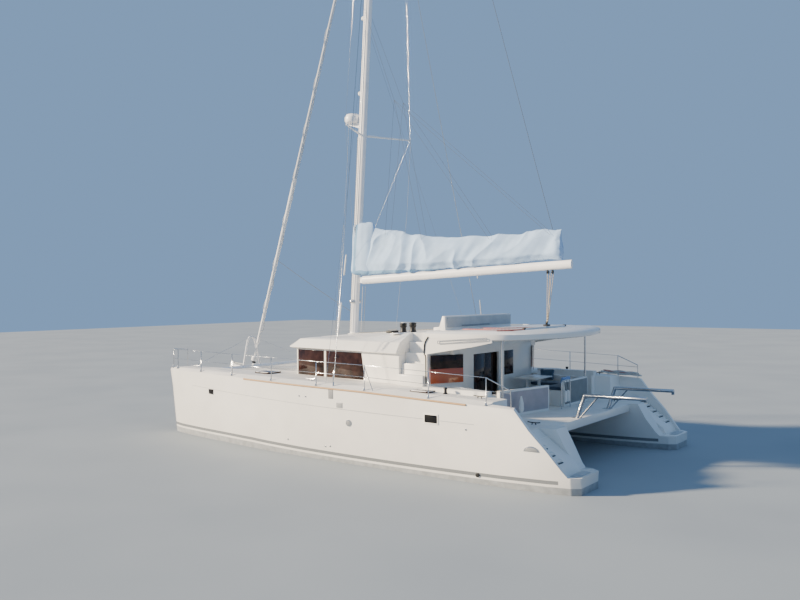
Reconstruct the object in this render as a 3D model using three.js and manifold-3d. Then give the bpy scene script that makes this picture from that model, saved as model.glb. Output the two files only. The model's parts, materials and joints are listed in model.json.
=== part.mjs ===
// Cruising catamaran, 14 m, with flybridge: two decked hulls, a hollow deckhouse and a fractional rig.
// Millimetres. +X to the bow, +Y to port, +Z up. The origin is amidships on the waterline.
import * as THREE from 'three';
import { mergeVertices } from 'three/addons/utils/BufferGeometryUtils.js';
import Module from 'manifold-3d';

const wasm = await Module();
wasm.setup();

// Driving dimensions
const HULL_Y = 3050;
const GAP = 0.3;
const SIDES = [['port', 1], ['starboard', -1]];
const BRIDGE_HALF = 2200;
const BRIDGE_UNDER_Z = 860;
const SOLE_Z = 1200;
const BRIDGE_FRONT_X = 2950;
const AFT_BEAM_X = -5850;
const HOUSE_HALF_FRONT = 2480;
const HOUSE_HALF_AFT = 2800;
const WALL = 60;
const WALL_TOP_Z = 2700;
const MAST_FOOT = { x: 2070, z: 3012 };
const MAST_TOP_Z = 24400;
const MAST_RAKE = Math.tan(THREE.MathUtils.degToRad(3.7));
const HOUNDS_Z = 19200;
const SPREADER_Z = 9060;
const TACK = { x: 6560, z: 1880 };
const GOOSENECK = { x: 1760, z: 4650 };
const BOOM_END_X = -5180;
const CHAINPLATE = { x: -400, y: 3790, z: 1880 };
const PLATFORM_Z = 370;

const FINISH = {
  gelcoat: { color: '#f1efe9', roughness: 0.3, metalness: 0 },
  antifoul: { color: '#565b60', roughness: 0.85, metalness: 0 },
  glass: { color: '#17191c', roughness: 0.08, metalness: 0 },
  steel: { color: '#c9ccce', roughness: 0.25, metalness: 1 },
  alloy: { color: '#e9e9e6', roughness: 0.4, metalness: 0.1 },
  net: { color: '#d9d9d4', roughness: 0.9, metalness: 0 },
  fabric: { color: '#a9bccb', roughness: 0.9, metalness: 0 },
  cushion: { color: '#4b5766', roughness: 0.9, metalness: 0 },
  bronze: { color: '#9c8255', roughness: 0.4, metalness: 1 },
};

const craft = new THREE.Group();

// Solids

function toSolid(geometry) {
  const bare = geometry.clone();
  bare.deleteAttribute('normal');
  bare.deleteAttribute('uv');
  const merged = mergeVertices(bare, 0.001);
  return new wasm.Manifold(new wasm.Mesh({
    numProp: 3,
    vertProperties: new Float32Array(merged.attributes.position.array),
    triVerts: new Uint32Array(merged.index.array),
  }));
}

function toGeometry(solid) {
  const mesh = solid.getMesh();
  const geometry = new THREE.BufferGeometry();
  geometry.setAttribute('position', new THREE.BufferAttribute(new Float32Array(mesh.vertProperties), 3));
  geometry.setIndex(new THREE.BufferAttribute(new Uint32Array(mesh.triVerts), 1));
  return geometry;
}

function join(...solids) {
  return solids.reduce((whole, solid) => whole.add(solid));
}

function cut(solid, ...tools) {
  return tools.reduce((rest, tool) => rest.subtract(tool), solid);
}

// Cuts a neighbour out of a solid with the seat gap on every side of it.
function clear(solid, neighbour) {
  const moves = [[1, 0, 0], [-1, 0, 0], [0, 1, 0], [0, -1, 0], [0, 0, 1], [0, 0, -1]];
  return moves.reduce((rest, move) => cut(rest, neighbour.translate(move.map((step) => step * GAP))), solid);
}

function piece(name, solid, finish) {
  const mesh = new THREE.Mesh(toGeometry(solid), new THREE.MeshStandardMaterial(FINISH[finish]));
  mesh.name = name;
  craft.add(mesh);
}

// An outline of [a, b] pairs pushed along one axis: 'z' takes (x, y), 'y' takes (x, z), 'x' takes (y, z).
function prism(outline, axis, low, high) {
  const shape = new THREE.Shape(outline.map(([a, b]) => new THREE.Vector2(a, b)));
  const geometry = new THREE.ExtrudeGeometry(shape, { depth: high - low, bevelEnabled: false });
  geometry.translate(0, 0, low);
  if (axis === 'y') {
    geometry.applyMatrix4(new THREE.Matrix4().set(1, 0, 0, 0, 0, 0, 1, 0, 0, 1, 0, 0, 0, 0, 0, 1));
    flip(geometry);
  }
  if (axis === 'x') {
    geometry.applyMatrix4(new THREE.Matrix4().set(0, 0, 1, 0, 1, 0, 0, 0, 0, 1, 0, 0, 0, 0, 0, 1));
  }
  return toSolid(geometry);
}

function flip(geometry) {
  const place = geometry.attributes.position;
  for (let i = 0; i < place.count; i += 3) {
    const a = new THREE.Vector3().fromBufferAttribute(place, i + 1);
    const b = new THREE.Vector3().fromBufferAttribute(place, i + 2);
    place.setXYZ(i + 1, b.x, b.y, b.z);
    place.setXYZ(i + 2, a.x, a.y, a.z);
  }
}

function box(x0, x1, y0, y1, z0, z1) {
  const geometry = new THREE.BoxGeometry(x1 - x0, y1 - y0, z1 - z0);
  geometry.translate((x0 + x1) / 2, (y0 + y1) / 2, (z0 + z1) / 2);
  return toSolid(geometry);
}

// A straight round bar between two [x, y, z] points.
function rod(from, to, radius, sides = 8, radiusTo = radius) {
  const start = new THREE.Vector3(...from);
  const end = new THREE.Vector3(...to);
  const run = end.clone().sub(start);
  const geometry = new THREE.CylinderGeometry(radiusTo, radius, run.length(), sides);
  geometry.applyQuaternion(new THREE.Quaternion().setFromUnitVectors(
    new THREE.Vector3(0, 1, 0), run.clone().normalize()));
  const middle = start.add(end).multiplyScalar(0.5);
  geometry.translate(middle.x, middle.y, middle.z);
  return toSolid(geometry);
}

// Bars through a list of points, with a ball at each bend.
function bentBar(points, radius, sides = 8) {
  const runs = points.slice(1).map((point, i) => rod(points[i], point, radius, sides));
  const bends = points.slice(1, -1).map((point) => ball(point, radius, sides));
  return join(...runs, ...bends);
}

function ball(at, radius, sides = 8) {
  const geometry = new THREE.SphereGeometry(radius * 1.02, sides, sides / 2);
  geometry.translate(...at);
  return toSolid(geometry);
}

// A closed skin through rings that all have the same number of [x, y, z] points.
// The end rings are filled as seen in the plane of the two axes given (0 is x, 1 is y, 2 is z).
function loft(rings, across = [1, 2]) {
  const count = rings[0].length;
  const points = rings.flat();
  const faces = [];
  for (let r = 0; r < rings.length - 1; r += 1) {
    for (let i = 0; i < count; i += 1) {
      const a = r * count + i;
      const b = r * count + (i + 1) % count;
      faces.push(a, b, a + count, b, b + count, a + count);
    }
  }
  [0, rings.length - 1].forEach((r, end) => {
    const flat = rings[r].map((p) => new THREE.Vector2(p[across[0]], p[across[1]]));
    const ringWay = Math.sign(THREE.ShapeUtils.area(flat));
    THREE.ShapeUtils.triangulateShape(flat, []).forEach((corner) => {
      const way = Math.sign(THREE.ShapeUtils.area(corner.map((i) => flat[i])));
      const along = way === ringWay ? corner : corner.slice().reverse();
      const [a, b, c] = end === 0 ? along.slice().reverse() : along;
      faces.push(r * count + a, r * count + b, r * count + c);
    });
  });
  const geometry = new THREE.BufferGeometry();
  geometry.setAttribute('position', new THREE.Float32BufferAttribute(points.flat(), 3));
  geometry.setIndex(faces);
  const solid = toSolid(geometry);
  if (solid.volume() > 0) return solid;
  const turned = [];
  for (let i = 0; i < faces.length; i += 3) turned.push(faces[i], faces[i + 2], faces[i + 1]);
  geometry.setIndex(turned);
  return toSolid(geometry);
}

function mirrored(solid, side) {
  return side > 0 ? solid : solid.mirror([0, 1, 0]);
}

function mastX(z) {
  return MAST_FOOT.x - (z - MAST_FOOT.z) * MAST_RAKE;
}

// Hulls: one row for each station.
// xWl, xSheer: place at the waterline and at the sheer; depth: of the bottom; wl: half breadth there;
// mid: outer offset at the side groove; out, inn: outer and inner offset at the sheer; sheer: its height.
const STATIONS = [
  { xWl: 6720, xSheer: 6980, depth: 200, wl: 14, mid: 22, out: 30, inn: 30, sheer: 1930 },
  { xWl: 6560, xSheer: 6820, depth: 330, wl: 80, mid: 120, out: 170, inn: 160, sheer: 1930 },
  { xWl: 6150, xSheer: 6350, depth: 400, wl: 190, mid: 250, out: 320, inn: 300, sheer: 1930 },
  { xWl: 5150, xSheer: 5200, depth: 480, wl: 340, mid: 410, out: 450, inn: 400, sheer: 1925 },
  { xWl: 3600, xSheer: 3600, depth: 540, wl: 520, mid: 580, out: 590, inn: 500, sheer: 1910 },
  { xWl: 2960, xSheer: 2960, depth: 560, wl: 600, mid: 660, out: 670, inn: 850, sheer: 1905 },
  { xWl: 2000, xSheer: 2000, depth: 580, wl: 680, mid: 745, out: 755, inn: 850, sheer: 1895 },
  { xWl: 700, xSheer: 700, depth: 590, wl: 730, mid: 815, out: 825, inn: 850, sheer: 1880 },
  { xWl: -1500, xSheer: -1500, depth: 580, wl: 745, mid: 825, out: 832, inn: 850, sheer: 1850 },
  { xWl: -3500, xSheer: -3500, depth: 520, wl: 740, mid: 822, out: 828, inn: 850, sheer: 1790 },
  { xWl: -5200, xSheer: -5200, depth: 380, wl: 720, mid: 800, out: 806, inn: 850, sheer: 1730 },
  { xWl: -6300, xSheer: -6300, depth: 210, wl: 660, mid: 745, out: 750, inn: 790, sheer: 1700 },
  { xWl: -6800, xSheer: -6800, depth: 90, wl: 560, mid: 670, out: 675, inn: 690, sheer: 1700 },
  { xWl: -6980, xSheer: -6980, depth: 30, wl: 420, mid: 560, out: 565, inn: 560, sheer: 1700 },
];
const DECK_RISE = 80;
const GROOVE_PART = 0.73;
const BOOT_Z = 300;

function hullRing(station) {
  const { xWl, xSheer, depth, wl, mid, out, inn, sheer } = station;
  const xAt = (z) => xWl + (xSheer - xWl) * (z > 0 ? z / sheer : (z / sheer) * 0.9);
  const innerLow = wl + (Math.min(inn, 850) - wl) * 0.25;
  const innerWl = Math.min(wl, 720);
  const outer = [[out, sheer], [mid, sheer * GROOVE_PART], [wl + (mid - wl) * 0.35, BOOT_Z], [wl, 0]];
  const turn = [20, 42, 66];
  const bottom = (half, angle) => {
    const rad = THREE.MathUtils.degToRad(angle);
    return [half * Math.cos(rad) ** 0.75, -depth * Math.sin(rad) ** 0.85];
  };
  const down = turn.map((angle) => bottom(wl, angle));
  const up = turn.slice().reverse().map((angle) => bottom(innerWl, angle));
  const crown = Math.min(1, out / 300) * DECK_RISE;
  const inner = [[innerWl, 0], [innerLow, BOOT_Z], [inn, BRIDGE_UNDER_Z], [inn, sheer + crown]];
  const ring = [[out * 0.7, sheer + crown], ...outer, ...down, [0, -depth]];
  const back = [...up, ...inner];
  return [
    ...ring.map(([y, z]) => [xAt(z), HULL_Y + y, z]),
    ...back.map(([y, z]) => [xAt(z), HULL_Y - y, z]),
  ];
}

// Stern scoop: [x, z] lines of the outer wall, of the inboard wall and of the steps between them.
const OUTER_SLOPE = [[-5550, 1760], [-5920, 1300], [-6300, 910], [-6640, 490], [-6750, PLATFORM_Z]];
const INNER_SLOPE = [[-6050, SOLE_Z], [-6260, 820], [-6500, 460], [-6590, PLATFORM_Z]];
const STEP = { first: -5640, run: 225, rise: 166, count: 5 };
const SCOOP_AFT_X = -7300;
const SCOOP_TOP_Z = 2600;
const INBOARD_WALL_Y = 2760;
const SIDE_DECK_END_X = -4960;
const COAMING = { front: -2700, aft: -4500, inner: 2900, outer: 3120, top: 1960 };
const COCKPIT_CUT_FRONT_X = -3060;

function slopeCut(line, y0, y1) {
  const first = line[0];
  return prism([...line, [SCOOP_AFT_X, PLATFORM_Z], [SCOOP_AFT_X, SCOOP_TOP_Z], [first[0], SCOOP_TOP_Z]],
    'y', y0, y1);
}

function stepLine() {
  const line = [[SIDE_DECK_END_X, SOLE_Z]];
  for (let i = 0; i < STEP.count; i += 1) {
    const x = STEP.first - i * STEP.run;
    line.push([x, SOLE_Z - i * STEP.rise], [x, SOLE_Z - (i + 1) * STEP.rise]);
  }
  return line;
}

function hull() {
  const shell = loft(STATIONS.map(hullRing));
  const wellOutline = [[-4960, 3735], [-5600, 3730], [-6300, 3665], [-6750, 3590], [-7300, 3480],
    [-7300, INBOARD_WALL_Y], [-4960, INBOARD_WALL_Y]];
  const well = prism(wellOutline, 'z', PLATFORM_Z - 5, SCOOP_TOP_Z);
  const steps = slopeCut(stepLine(), 2000, 4100);
  const coamingBlock = box(COAMING.aft, COAMING.front, COAMING.inner, COAMING.outer, 1700, COAMING.top);
  return cut(
    join(shell, coamingBlock),
    slopeCut(OUTER_SLOPE, INBOARD_WALL_Y - 1, 4100),
    slopeCut(INNER_SLOPE, 1900, INBOARD_WALL_Y),
    box(-6060, COCKPIT_CUT_FRONT_X, 1900, INBOARD_WALL_Y, SOLE_Z, SCOOP_TOP_Z),
    box(COAMING.aft, COCKPIT_CUT_FRONT_X, 1900, COAMING.inner, SOLE_Z, SCOOP_TOP_Z),
    box(SIDE_DECK_END_X, COAMING.aft - 1, 1900, 3000, SOLE_Z, SCOOP_TOP_Z),
    well.intersect(steps),
  );
}

// Keels, drives, propellers and rudders under each hull
const KEEL = { front: 1500, aft: -1300, top: -450, foot: -1300, half: 110 };
const DRIVE = { x: -3350, top: -300, foot: -900 };
const PROP = { x: -3560, z: -760, hub: 55, reach: 215 };
const RUDDER = { x: -5150, top: -160, head: -470, foot: -1180, fore: 130, aft: 420, stock: 30, bore: 31.2 };
const STOCK_SIDES = 24;
const rudderBore = rod([RUDDER.x, HULL_Y, -700], [RUDDER.x, HULL_Y, RUDDER.top + GAP], RUDDER.bore, STOCK_SIDES);
const hullSolid = cut(hull(), rudderBore);
SIDES.forEach(([name, side]) => piece(`hull_${name}`, mirrored(hullSolid, side), 'gelcoat'));

// What stands against the hull is trimmed by that hull moved by the seat gap.
function trimmed(solid, dx, dy, dz) {
  return cut(solid, hullSolid.translate([dx, dy, dz]));
}

function keel() {
  const ring = (z, front, aft, half) => [
    [front, HULL_Y, z], [front - 250, HULL_Y + half, z], [(front + aft) / 2, HULL_Y + half, z],
    [aft, HULL_Y + 12, z], [aft, HULL_Y - 12, z], [(front + aft) / 2, HULL_Y - half, z],
    [front - 250, HULL_Y - half, z],
  ];
  return loft([ring(KEEL.foot, KEEL.front - 350, KEEL.aft + 250, KEEL.half * 0.8),
    ring(KEEL.top, KEEL.front, KEEL.aft, KEEL.half)], [0, 1]);
}

const FROM_ABOVE = [0, 1];

function driveLeg() {
  const ring = (z, length, half) => [
    [DRIVE.x + length / 2, HULL_Y, z], [DRIVE.x + length / 4, HULL_Y + half, z],
    [DRIVE.x - length / 2, HULL_Y + 8, z], [DRIVE.x - length / 2, HULL_Y - 8, z],
    [DRIVE.x + length / 4, HULL_Y - half, z],
  ];
  const leg = loft([ring(DRIVE.foot, 160, 28), ring(-700, 230, 45), ring(DRIVE.top, 300, 60)], FROM_ABOVE);
  const torpedo = join(
    rod([PROP.x + 62, HULL_Y, PROP.z], [DRIVE.x + 170, HULL_Y, PROP.z], 62, 12, 55),
    rod([DRIVE.x + 169, HULL_Y, PROP.z], [DRIVE.x + 240, HULL_Y, PROP.z], 55, 12, 15),
  );
  return join(leg, torpedo);
}

function propeller() {
  const hub = rod([PROP.x - 90, HULL_Y, PROP.z], [PROP.x + 62 - GAP, HULL_Y, PROP.z], 30, 12, PROP.hub);
  const blades = [0, 120, 240].map((angle) => {
    const blade = new THREE.BoxGeometry(12, 120, 180);
    blade.rotateZ(THREE.MathUtils.degToRad(62));
    blade.translate(0, 0, 125);
    blade.rotateX(THREE.MathUtils.degToRad(angle));
    blade.translate(PROP.x, HULL_Y, PROP.z);
    return toSolid(blade);
  });
  return join(hub, ...blades);
}

function rudder() {
  const ring = (z, fore, aft, half) => [
    [RUDDER.x + fore, HULL_Y, z], [RUDDER.x + fore * 0.3, HULL_Y + half, z],
    [RUDDER.x - aft, HULL_Y + 6, z], [RUDDER.x - aft, HULL_Y - 6, z],
    [RUDDER.x + fore * 0.3, HULL_Y - half, z],
  ];
  const blade = loft([ring(RUDDER.foot, RUDDER.fore * 0.6, RUDDER.aft * 0.62, 22),
    ring(RUDDER.head, RUDDER.fore, RUDDER.aft, 38)], FROM_ABOVE);
  const stock = rod([RUDDER.x, HULL_Y, RUDDER.head - 20], [RUDDER.x, HULL_Y, RUDDER.top], RUDDER.stock, STOCK_SIDES);
  return join(blade, stock);
}

SIDES.forEach(([name, side]) => {
  piece(`keel_${name}`, mirrored(trimmed(keel(), 0, 0, -GAP), side), 'antifoul');
  piece(`drive_leg_${name}`, mirrored(trimmed(driveLeg(), 0, 0, -GAP), side), 'alloy');
  piece(`propeller_${name}`, mirrored(propeller(), side), 'bronze');
  piece(`rudder_${name}`, mirrored(rudder(), side), 'antifoul');
});

// Bridgedeck: floor from the foredeck to the aft beam, with a nacelle under it
const FOREDECK_Z = 1980;
const SALOON_FRONT_X = 2300;
const NACELLE = { front: 2300, aft: -3600, half: 480, low: 560 };

function bridgedeck() {
  const half = BRIDGE_HALF - GAP;
  const floor = prism([
    [2650, BRIDGE_UNDER_Z], [BRIDGE_FRONT_X, 1150], [BRIDGE_FRONT_X, FOREDECK_Z],
    [SALOON_FRONT_X, FOREDECK_Z], [SALOON_FRONT_X, SOLE_Z], [AFT_BEAM_X, SOLE_Z],
    [AFT_BEAM_X, 1000], [-5500, BRIDGE_UNDER_Z],
  ], 'y', -half, half);
  const nacelle = loft([
    [-NACELLE.half, BRIDGE_UNDER_Z + 10, NACELLE.front, NACELLE.aft],
    [-NACELLE.half * 0.55, NACELLE.low, NACELLE.front - 500, NACELLE.aft + 500],
    [NACELLE.half * 0.55, NACELLE.low, NACELLE.front - 500, NACELLE.aft + 500],
    [NACELLE.half, BRIDGE_UNDER_Z + 10, NACELLE.front, NACELLE.aft],
  ].map(([y, z, front, aft]) => [[front, y, BRIDGE_UNDER_Z + 10], [front, y, z - 1],
    [aft, y, z - 1], [aft, y, BRIDGE_UNDER_Z + 10]]), [0, 2]);
  return join(floor, nacelle);
}
piece('bridgedeck', bridgedeck(), 'gelcoat');

// Bow: crossbeam, striker arch with its stays, spine with the bow roller, nets and anchor
const BEAM = { x: 6620, z: 1740, radius: 100, half: 3000 };
const ARCH = { x: 6650, foot: 400, top: 110, topZ: 2790, radius: 32 };
const SPINE = { half: 85, top: 1745, low: 1585, tip: 7560 };
const NET_Z = 1765;
const inboard = [0, -GAP, 0];

function bothSides(solid) {
  return [1, -1].reduce((rest, side) => cut(rest, mirrored(hullSolid.translate(inboard), side)), solid);
}

function crossbeam() {
  const tube = rod([BEAM.x, -BEAM.half, BEAM.z], [BEAM.x, BEAM.half, BEAM.z], BEAM.radius, 16);
  const tackLug = box(TACK.x - 20, TACK.x + 20, -14, 14, BEAM.z, TACK.z);
  const reach = SPINE.half + GAP;
  const spineSlot = box(BEAM.x - 200, BEAM.x + 200, -reach, reach, 1500, SPINE.low + 75);
  return cut(bothSides(join(tube, tackLug)), spineSlot);
}

function strikerArch() {
  const portLeg = [
    [BEAM.x, ARCH.foot, BEAM.z], [ARCH.x, ARCH.top * 1.5, ARCH.topZ - 130],
    [ARCH.x, ARCH.top * 0.8, ARCH.topZ - 20],
  ];
  const starboardLeg = portLeg.map(([x, y, z]) => [x, -y, z]).reverse();
  const legs = bentBar([...portLeg, [ARCH.x, 0, ARCH.topZ], ...starboardLeg], ARCH.radius);
  return cut(legs, rod([BEAM.x, -3100, BEAM.z], [BEAM.x, 3100, BEAM.z], BEAM.radius + GAP, 16));
}

function spine() {
  const bar = prism([
    [BRIDGE_FRONT_X + GAP, SPINE.low - 60], [BRIDGE_FRONT_X + GAP, SPINE.top], [6900, SPINE.top],
    [SPINE.tip, 1860], [SPINE.tip, 1780], [6900, SPINE.low], [3600, SPINE.low],
  ], 'y', -SPINE.half, SPINE.half);
  const slot = box(6900, SPINE.tip + 50, -38, 38, 1700, 2000);
  const roller = rod([SPINE.tip - 60, -60, 1815], [SPINE.tip - 60, 60, 1815], 34, 12);
  const beamPlace = rod([BEAM.x, -500, BEAM.z], [BEAM.x, 500, BEAM.z], BEAM.radius + GAP, 16);
  const above = box(BEAM.x - 200, BEAM.x + 200, -SPINE.half - 5, SPINE.half + 5, SPINE.low + 75 - GAP, 1900);
  return cut(join(cut(bar, slot), roller), beamPlace, above);
}

function net(side) {
  const sheet = prism([
    [BRIDGE_FRONT_X + GAP, SPINE.half - 40], [BRIDGE_FRONT_X + GAP, 3000], [BEAM.x - 60, 3000],
    [BEAM.x - 60, SPINE.half - 40],
  ], 'z', NET_Z - 14, NET_Z);
  const beamPlace = rod([BEAM.x, -3100, BEAM.z], [BEAM.x, 3100, BEAM.z], BEAM.radius + GAP, 16);
  const spinePlace = box(2900, 7000, -SPINE.half - GAP, SPINE.half + GAP, 1500, SPINE.top + GAP);
  return mirrored(cut(trimmed(sheet, ...inboard), beamPlace, spinePlace), side);
}

function anchor() {
  const shank = prism([[7500, 1852], [7500, 1900], [6980, 1850], [6980, 1800]], 'y', -14, 14);
  const fluke = prism([
    [7490, 1853], [7490, 1900], [7640, 1900], [7760, 1610], [7620, 1680], [7550, 1853],
  ], 'y', -30, 30);
  const blade = prism([[7560, 1650], [7800, 1690], [7700, 1480], [7440, 1490]], 'y', -140, 140);
  return clear(join(shank, fluke, blade).translate([0, 0, -4]), bowSpine);
}

piece('crossbeam', crossbeam(), 'alloy');
piece('striker_arch', strikerArch(), 'alloy');
const bowSpine = spine();
piece('bow_spine', bowSpine, 'alloy');
SIDES.forEach(([name, side]) => piece(`net_${name}`, net(side), 'net'));

SIDES.forEach(([name, side]) => piece(`rail_${name}`, rails(side), 'steel'));
piece('anchor', anchor(), 'steel');

// Deckhouse walls: half of the plan line of the outer face, from the middle of the front to the bulkhead
const RECESS = { front: -1750, aft: -2600, inner: 2230 };
const HALF_LINE = [
  [2560, 0], [2520, 1100], [2350, 2000], [2100, HOUSE_HALF_FRONT], [RECESS.front, HOUSE_HALF_AFT],
  [RECESS.front, RECESS.inner], [-2785, RECESS.inner],
];
const HOUSE_LINE = [...HALF_LINE.slice(1).reverse().map(([x, y]) => [x, -y]), ...HALF_LINE];
const WINDOW = { low: 2030, top: 2620 };
const GLASS = 8;
const WALL_SPLIT_X = 2060;

// A wall that follows a plan line, its thickness to the left of the way the line runs.
function strip(line, inset, thick, low, top) {
  const normals = line.slice(1)
    .map(([x, y], i) => new THREE.Vector2(line[i][1] - y, x - line[i][0]).normalize());
  const shift = (depth) => line.map(([x, y], i) => {
    const before = normals[Math.max(i - 1, 0)];
    const after = normals[Math.min(i, normals.length - 1)];
    const corner = before.clone().add(after).multiplyScalar(depth / (1 + before.dot(after)));
    return [x + corner.x, y + corner.y];
  });
  return prism([...shift(inset), ...shift(inset + thick).reverse()], 'z', low, top);
}

// Front panes as [from, to] distances off the centreline
const FRONT_PANES = [[60, 1060], [1160, 1930], [2040, 2420]];
// Side panes by the x of their four corners
const SIDE_PANES = [
  { foreLow: 2030, foreTop: 2030, aftTop: 1020, aftLow: 1020 },
  { foreLow: 880, foreTop: 880, aftTop: -410, aftLow: -520 },
];

function windowCuts() {
  const front = [1, -1].flatMap((side) => FRONT_PANES.map(([near, far]) => box(2100, 2700,
    Math.min(side * near, side * far), Math.max(side * near, side * far), WINDOW.low, WINDOW.top)));
  const sides = SIDE_PANES.map(({ foreLow, foreTop, aftTop, aftLow }) => prism([
    [foreLow, WINDOW.low], [foreTop, WINDOW.top], [aftTop, WINDOW.top], [aftLow, WINDOW.low],
  ], 'y', -3100, 3100));
  const sideOnly = sides.map((cutter) => cutter.subtract(box(-3000, 3000, -2400, 2400, 1900, 2700)));
  return [...front, ...sideOnly];
}

// Trims whatever stands on the decks, 0.3 mm above them.
function onDeck(solid) {
  const foredeck = box(SALOON_FRONT_X, BRIDGE_FRONT_X, -BRIDGE_HALF, BRIDGE_HALF, 1500, FOREDECK_Z + GAP);
  return [1, -1].reduce((rest, side) => cut(rest, mirrored(hullSolid.translate([0, 0, GAP]), side)),
    cut(solid, foredeck));
}

function houseParts(solid) {
  return {
    front: solid.intersect(box(WALL_SPLIT_X + GAP, 3000, -3000, 3000, 1000, 3000)),
    port: solid.intersect(box(-3000, WALL_SPLIT_X, 0, 3000, 1000, 3000)),
    starboard: solid.intersect(box(-3000, WALL_SPLIT_X, -3000, 0, 1000, 3000)),
  };
}

const wallStrip = strip(HOUSE_LINE, 0, WALL, 1850, WALL_TOP_Z - GAP);
const houseWalls = houseParts(onDeck(cut(wallStrip, ...windowCuts())));
const glassLine = HOUSE_LINE.slice(2, -2);
const houseGlass = houseParts(onDeck(strip(glassLine, WALL + GAP, GLASS, 1992, 2660))
  .subtract(box(-3000, -600, -3000, 3000, 1000, 3000)));
['front', 'port', 'starboard'].forEach((place) => {
  piece(`house_${place}`, houseWalls[place], 'gelcoat');
  piece(`glass_${place}`, houseGlass[place], 'glass');
});

// Coachroof: loops of [x, y, z] for the port half, from the middle of the front to the middle of the aft edge
const ROOF_AFT_X = -2999;
const ROOF_LOOPS = [
  [[2560, 0, 2700], [2530, 1050, 2700], [2400, 1800, 2700], [2230, 2400, 2700], [2080, 2540, 2700],
    [-1750, 2860, 2700], [-1750, BRIDGE_HALF, 2700], [ROOF_AFT_X, BRIDGE_HALF, 2700]],
  [[2780, 0, 2770], [2750, 1000, 2770], [2630, 1800, 2765], [2450, 2420, 2755], [2260, 2600, 2740],
    [-1750, 2940, 2725], [-1750, BRIDGE_HALF, 2725], [ROOF_AFT_X, BRIDGE_HALF, 2725]],
  [[2500, 0, 2960], [2480, 900, 2960], [2380, 1600, 2960], [2210, 2200, 2965], [2040, 2420, 2970],
    [-1750, 2760, 2990], [-1750, BRIDGE_HALF, 2990], [ROOF_AFT_X, BRIDGE_HALF, 2990]],
  [[2080, 0, 3000], [2070, 800, 3000], [2000, 1350, 3000], [1880, 1700, 3005], [1700, 1900, 3010],
    [-1750, 2330, 3200], [-1750, BRIDGE_HALF, 3220], [ROOF_AFT_X, BRIDGE_HALF, 3260]],
];
const FOOTWELL = { front: -1150, aft: -2000, half: 1550, floor: 2960 };
const CEILING_Z = 2860;
const SEAT = { port: 1680, starboard: -1800, top: 3640 };
const WINCH = { radius: 70, top: 3450 };
const WINCHES = [[-980, 1560], [-1340, 1620], [-980, -1560], [-1340, -1620]];
const HELM = {
  x: -1620, y: -420, z: 3270, radius: 280, shaft: 30, panelX: -1400, panelLow: 3160, brow: [-1270, 3330],
};

function loops(table) {
  const otherHalf = (half) => half.filter(([, y]) => y > 0).reverse().map(([x, y, z]) => [x, -y, z]);
  return loft(table.map((half) => [...half, ...otherHalf(half)]), FROM_ABOVE);
}

function coachroof() {
  const ceiling = box(-2900, 2120, -2120, 2120, 2600, CEILING_Z);
  const well = box(FOOTWELL.aft, FOOTWELL.front, -FOOTWELL.half, FOOTWELL.half, FOOTWELL.floor, 3500);
  const seat = prism([[-2050, 3150], [-2050, 3340], [-2230, 3360], [-2330, SEAT.top], [-2400, SEAT.top],
    [-2420, 3150]], 'y', SEAT.starboard, SEAT.port);
  const console = prism([[-1100, 3100], [-1100, HELM.brow[1]], HELM.brow, [HELM.panelX, HELM.panelLow],
    [HELM.panelX, FOOTWELL.floor - 5], [-1100, FOOTWELL.floor - 5]], 'y', HELM.y - 380, HELM.y + 380);
  const winches = WINCHES.map(([x, y]) => rod([x, y, 3120], [x, y, WINCH.top], WINCH.radius, 12,
    WINCH.radius * 0.8));
  const step = rod([mastX(3050), 0, 2950], [mastX(3050), 0, MAST_FOOT.z], 190, 16);
  return join(cut(loops(ROOF_LOOPS), ceiling, well), seat, console, step, ...winches);
}
const coachroofSolid = coachroof();
piece('coachroof', coachroofSolid, 'gelcoat');

function steeringWheel() {
  const rim = new THREE.TorusGeometry(HELM.radius, 16, 8, 28);
  rim.rotateY(Math.PI / 2);
  rim.translate(HELM.x, HELM.y, HELM.z);
  const spokes = [0, 60, 120].map((angle) => {
    const rad = THREE.MathUtils.degToRad(angle);
    const across = HELM.radius * Math.cos(rad);
    const up = HELM.radius * Math.sin(rad);
    return rod([HELM.x, HELM.y - across, HELM.z - up], [HELM.x, HELM.y + across, HELM.z + up], 10, 6);
  });
  const rise = (HELM.z - HELM.shaft - HELM.panelLow) / (HELM.brow[1] - HELM.panelLow);
  const panelFace = HELM.panelX + rise * (HELM.brow[0] - HELM.panelX);
  const shaft = rod([HELM.x - 20, HELM.y, HELM.z], [panelFace - 2 * GAP, HELM.y, HELM.z], HELM.shaft, 12);
  return join(toSolid(rim), ...spokes, shaft);
}
piece('steering_wheel', steeringWheel(), 'steel');

// Hardtop over the cockpit
const TOP_LINE = [[-2600, 2900], [-3600, 2840], [-4400, 2720]];
const TOP_TAIL = [[-4850, 2450], [-5200, 1750], [-5420, 800], [-5470, 0]];
const TOP = { under: 3100, low: 3130, high: 3250, top: 3310 };
const ARCH_LINE = [[-2590, 2730], [-3300, 2850], [-3900, 2950], [-4400, 3060], [-4500, 3180]];
const TRAVELLER = { x: -4420, half: 1150 };
const POST = { x: -4480, y: 2360, radius: 27 };

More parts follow.
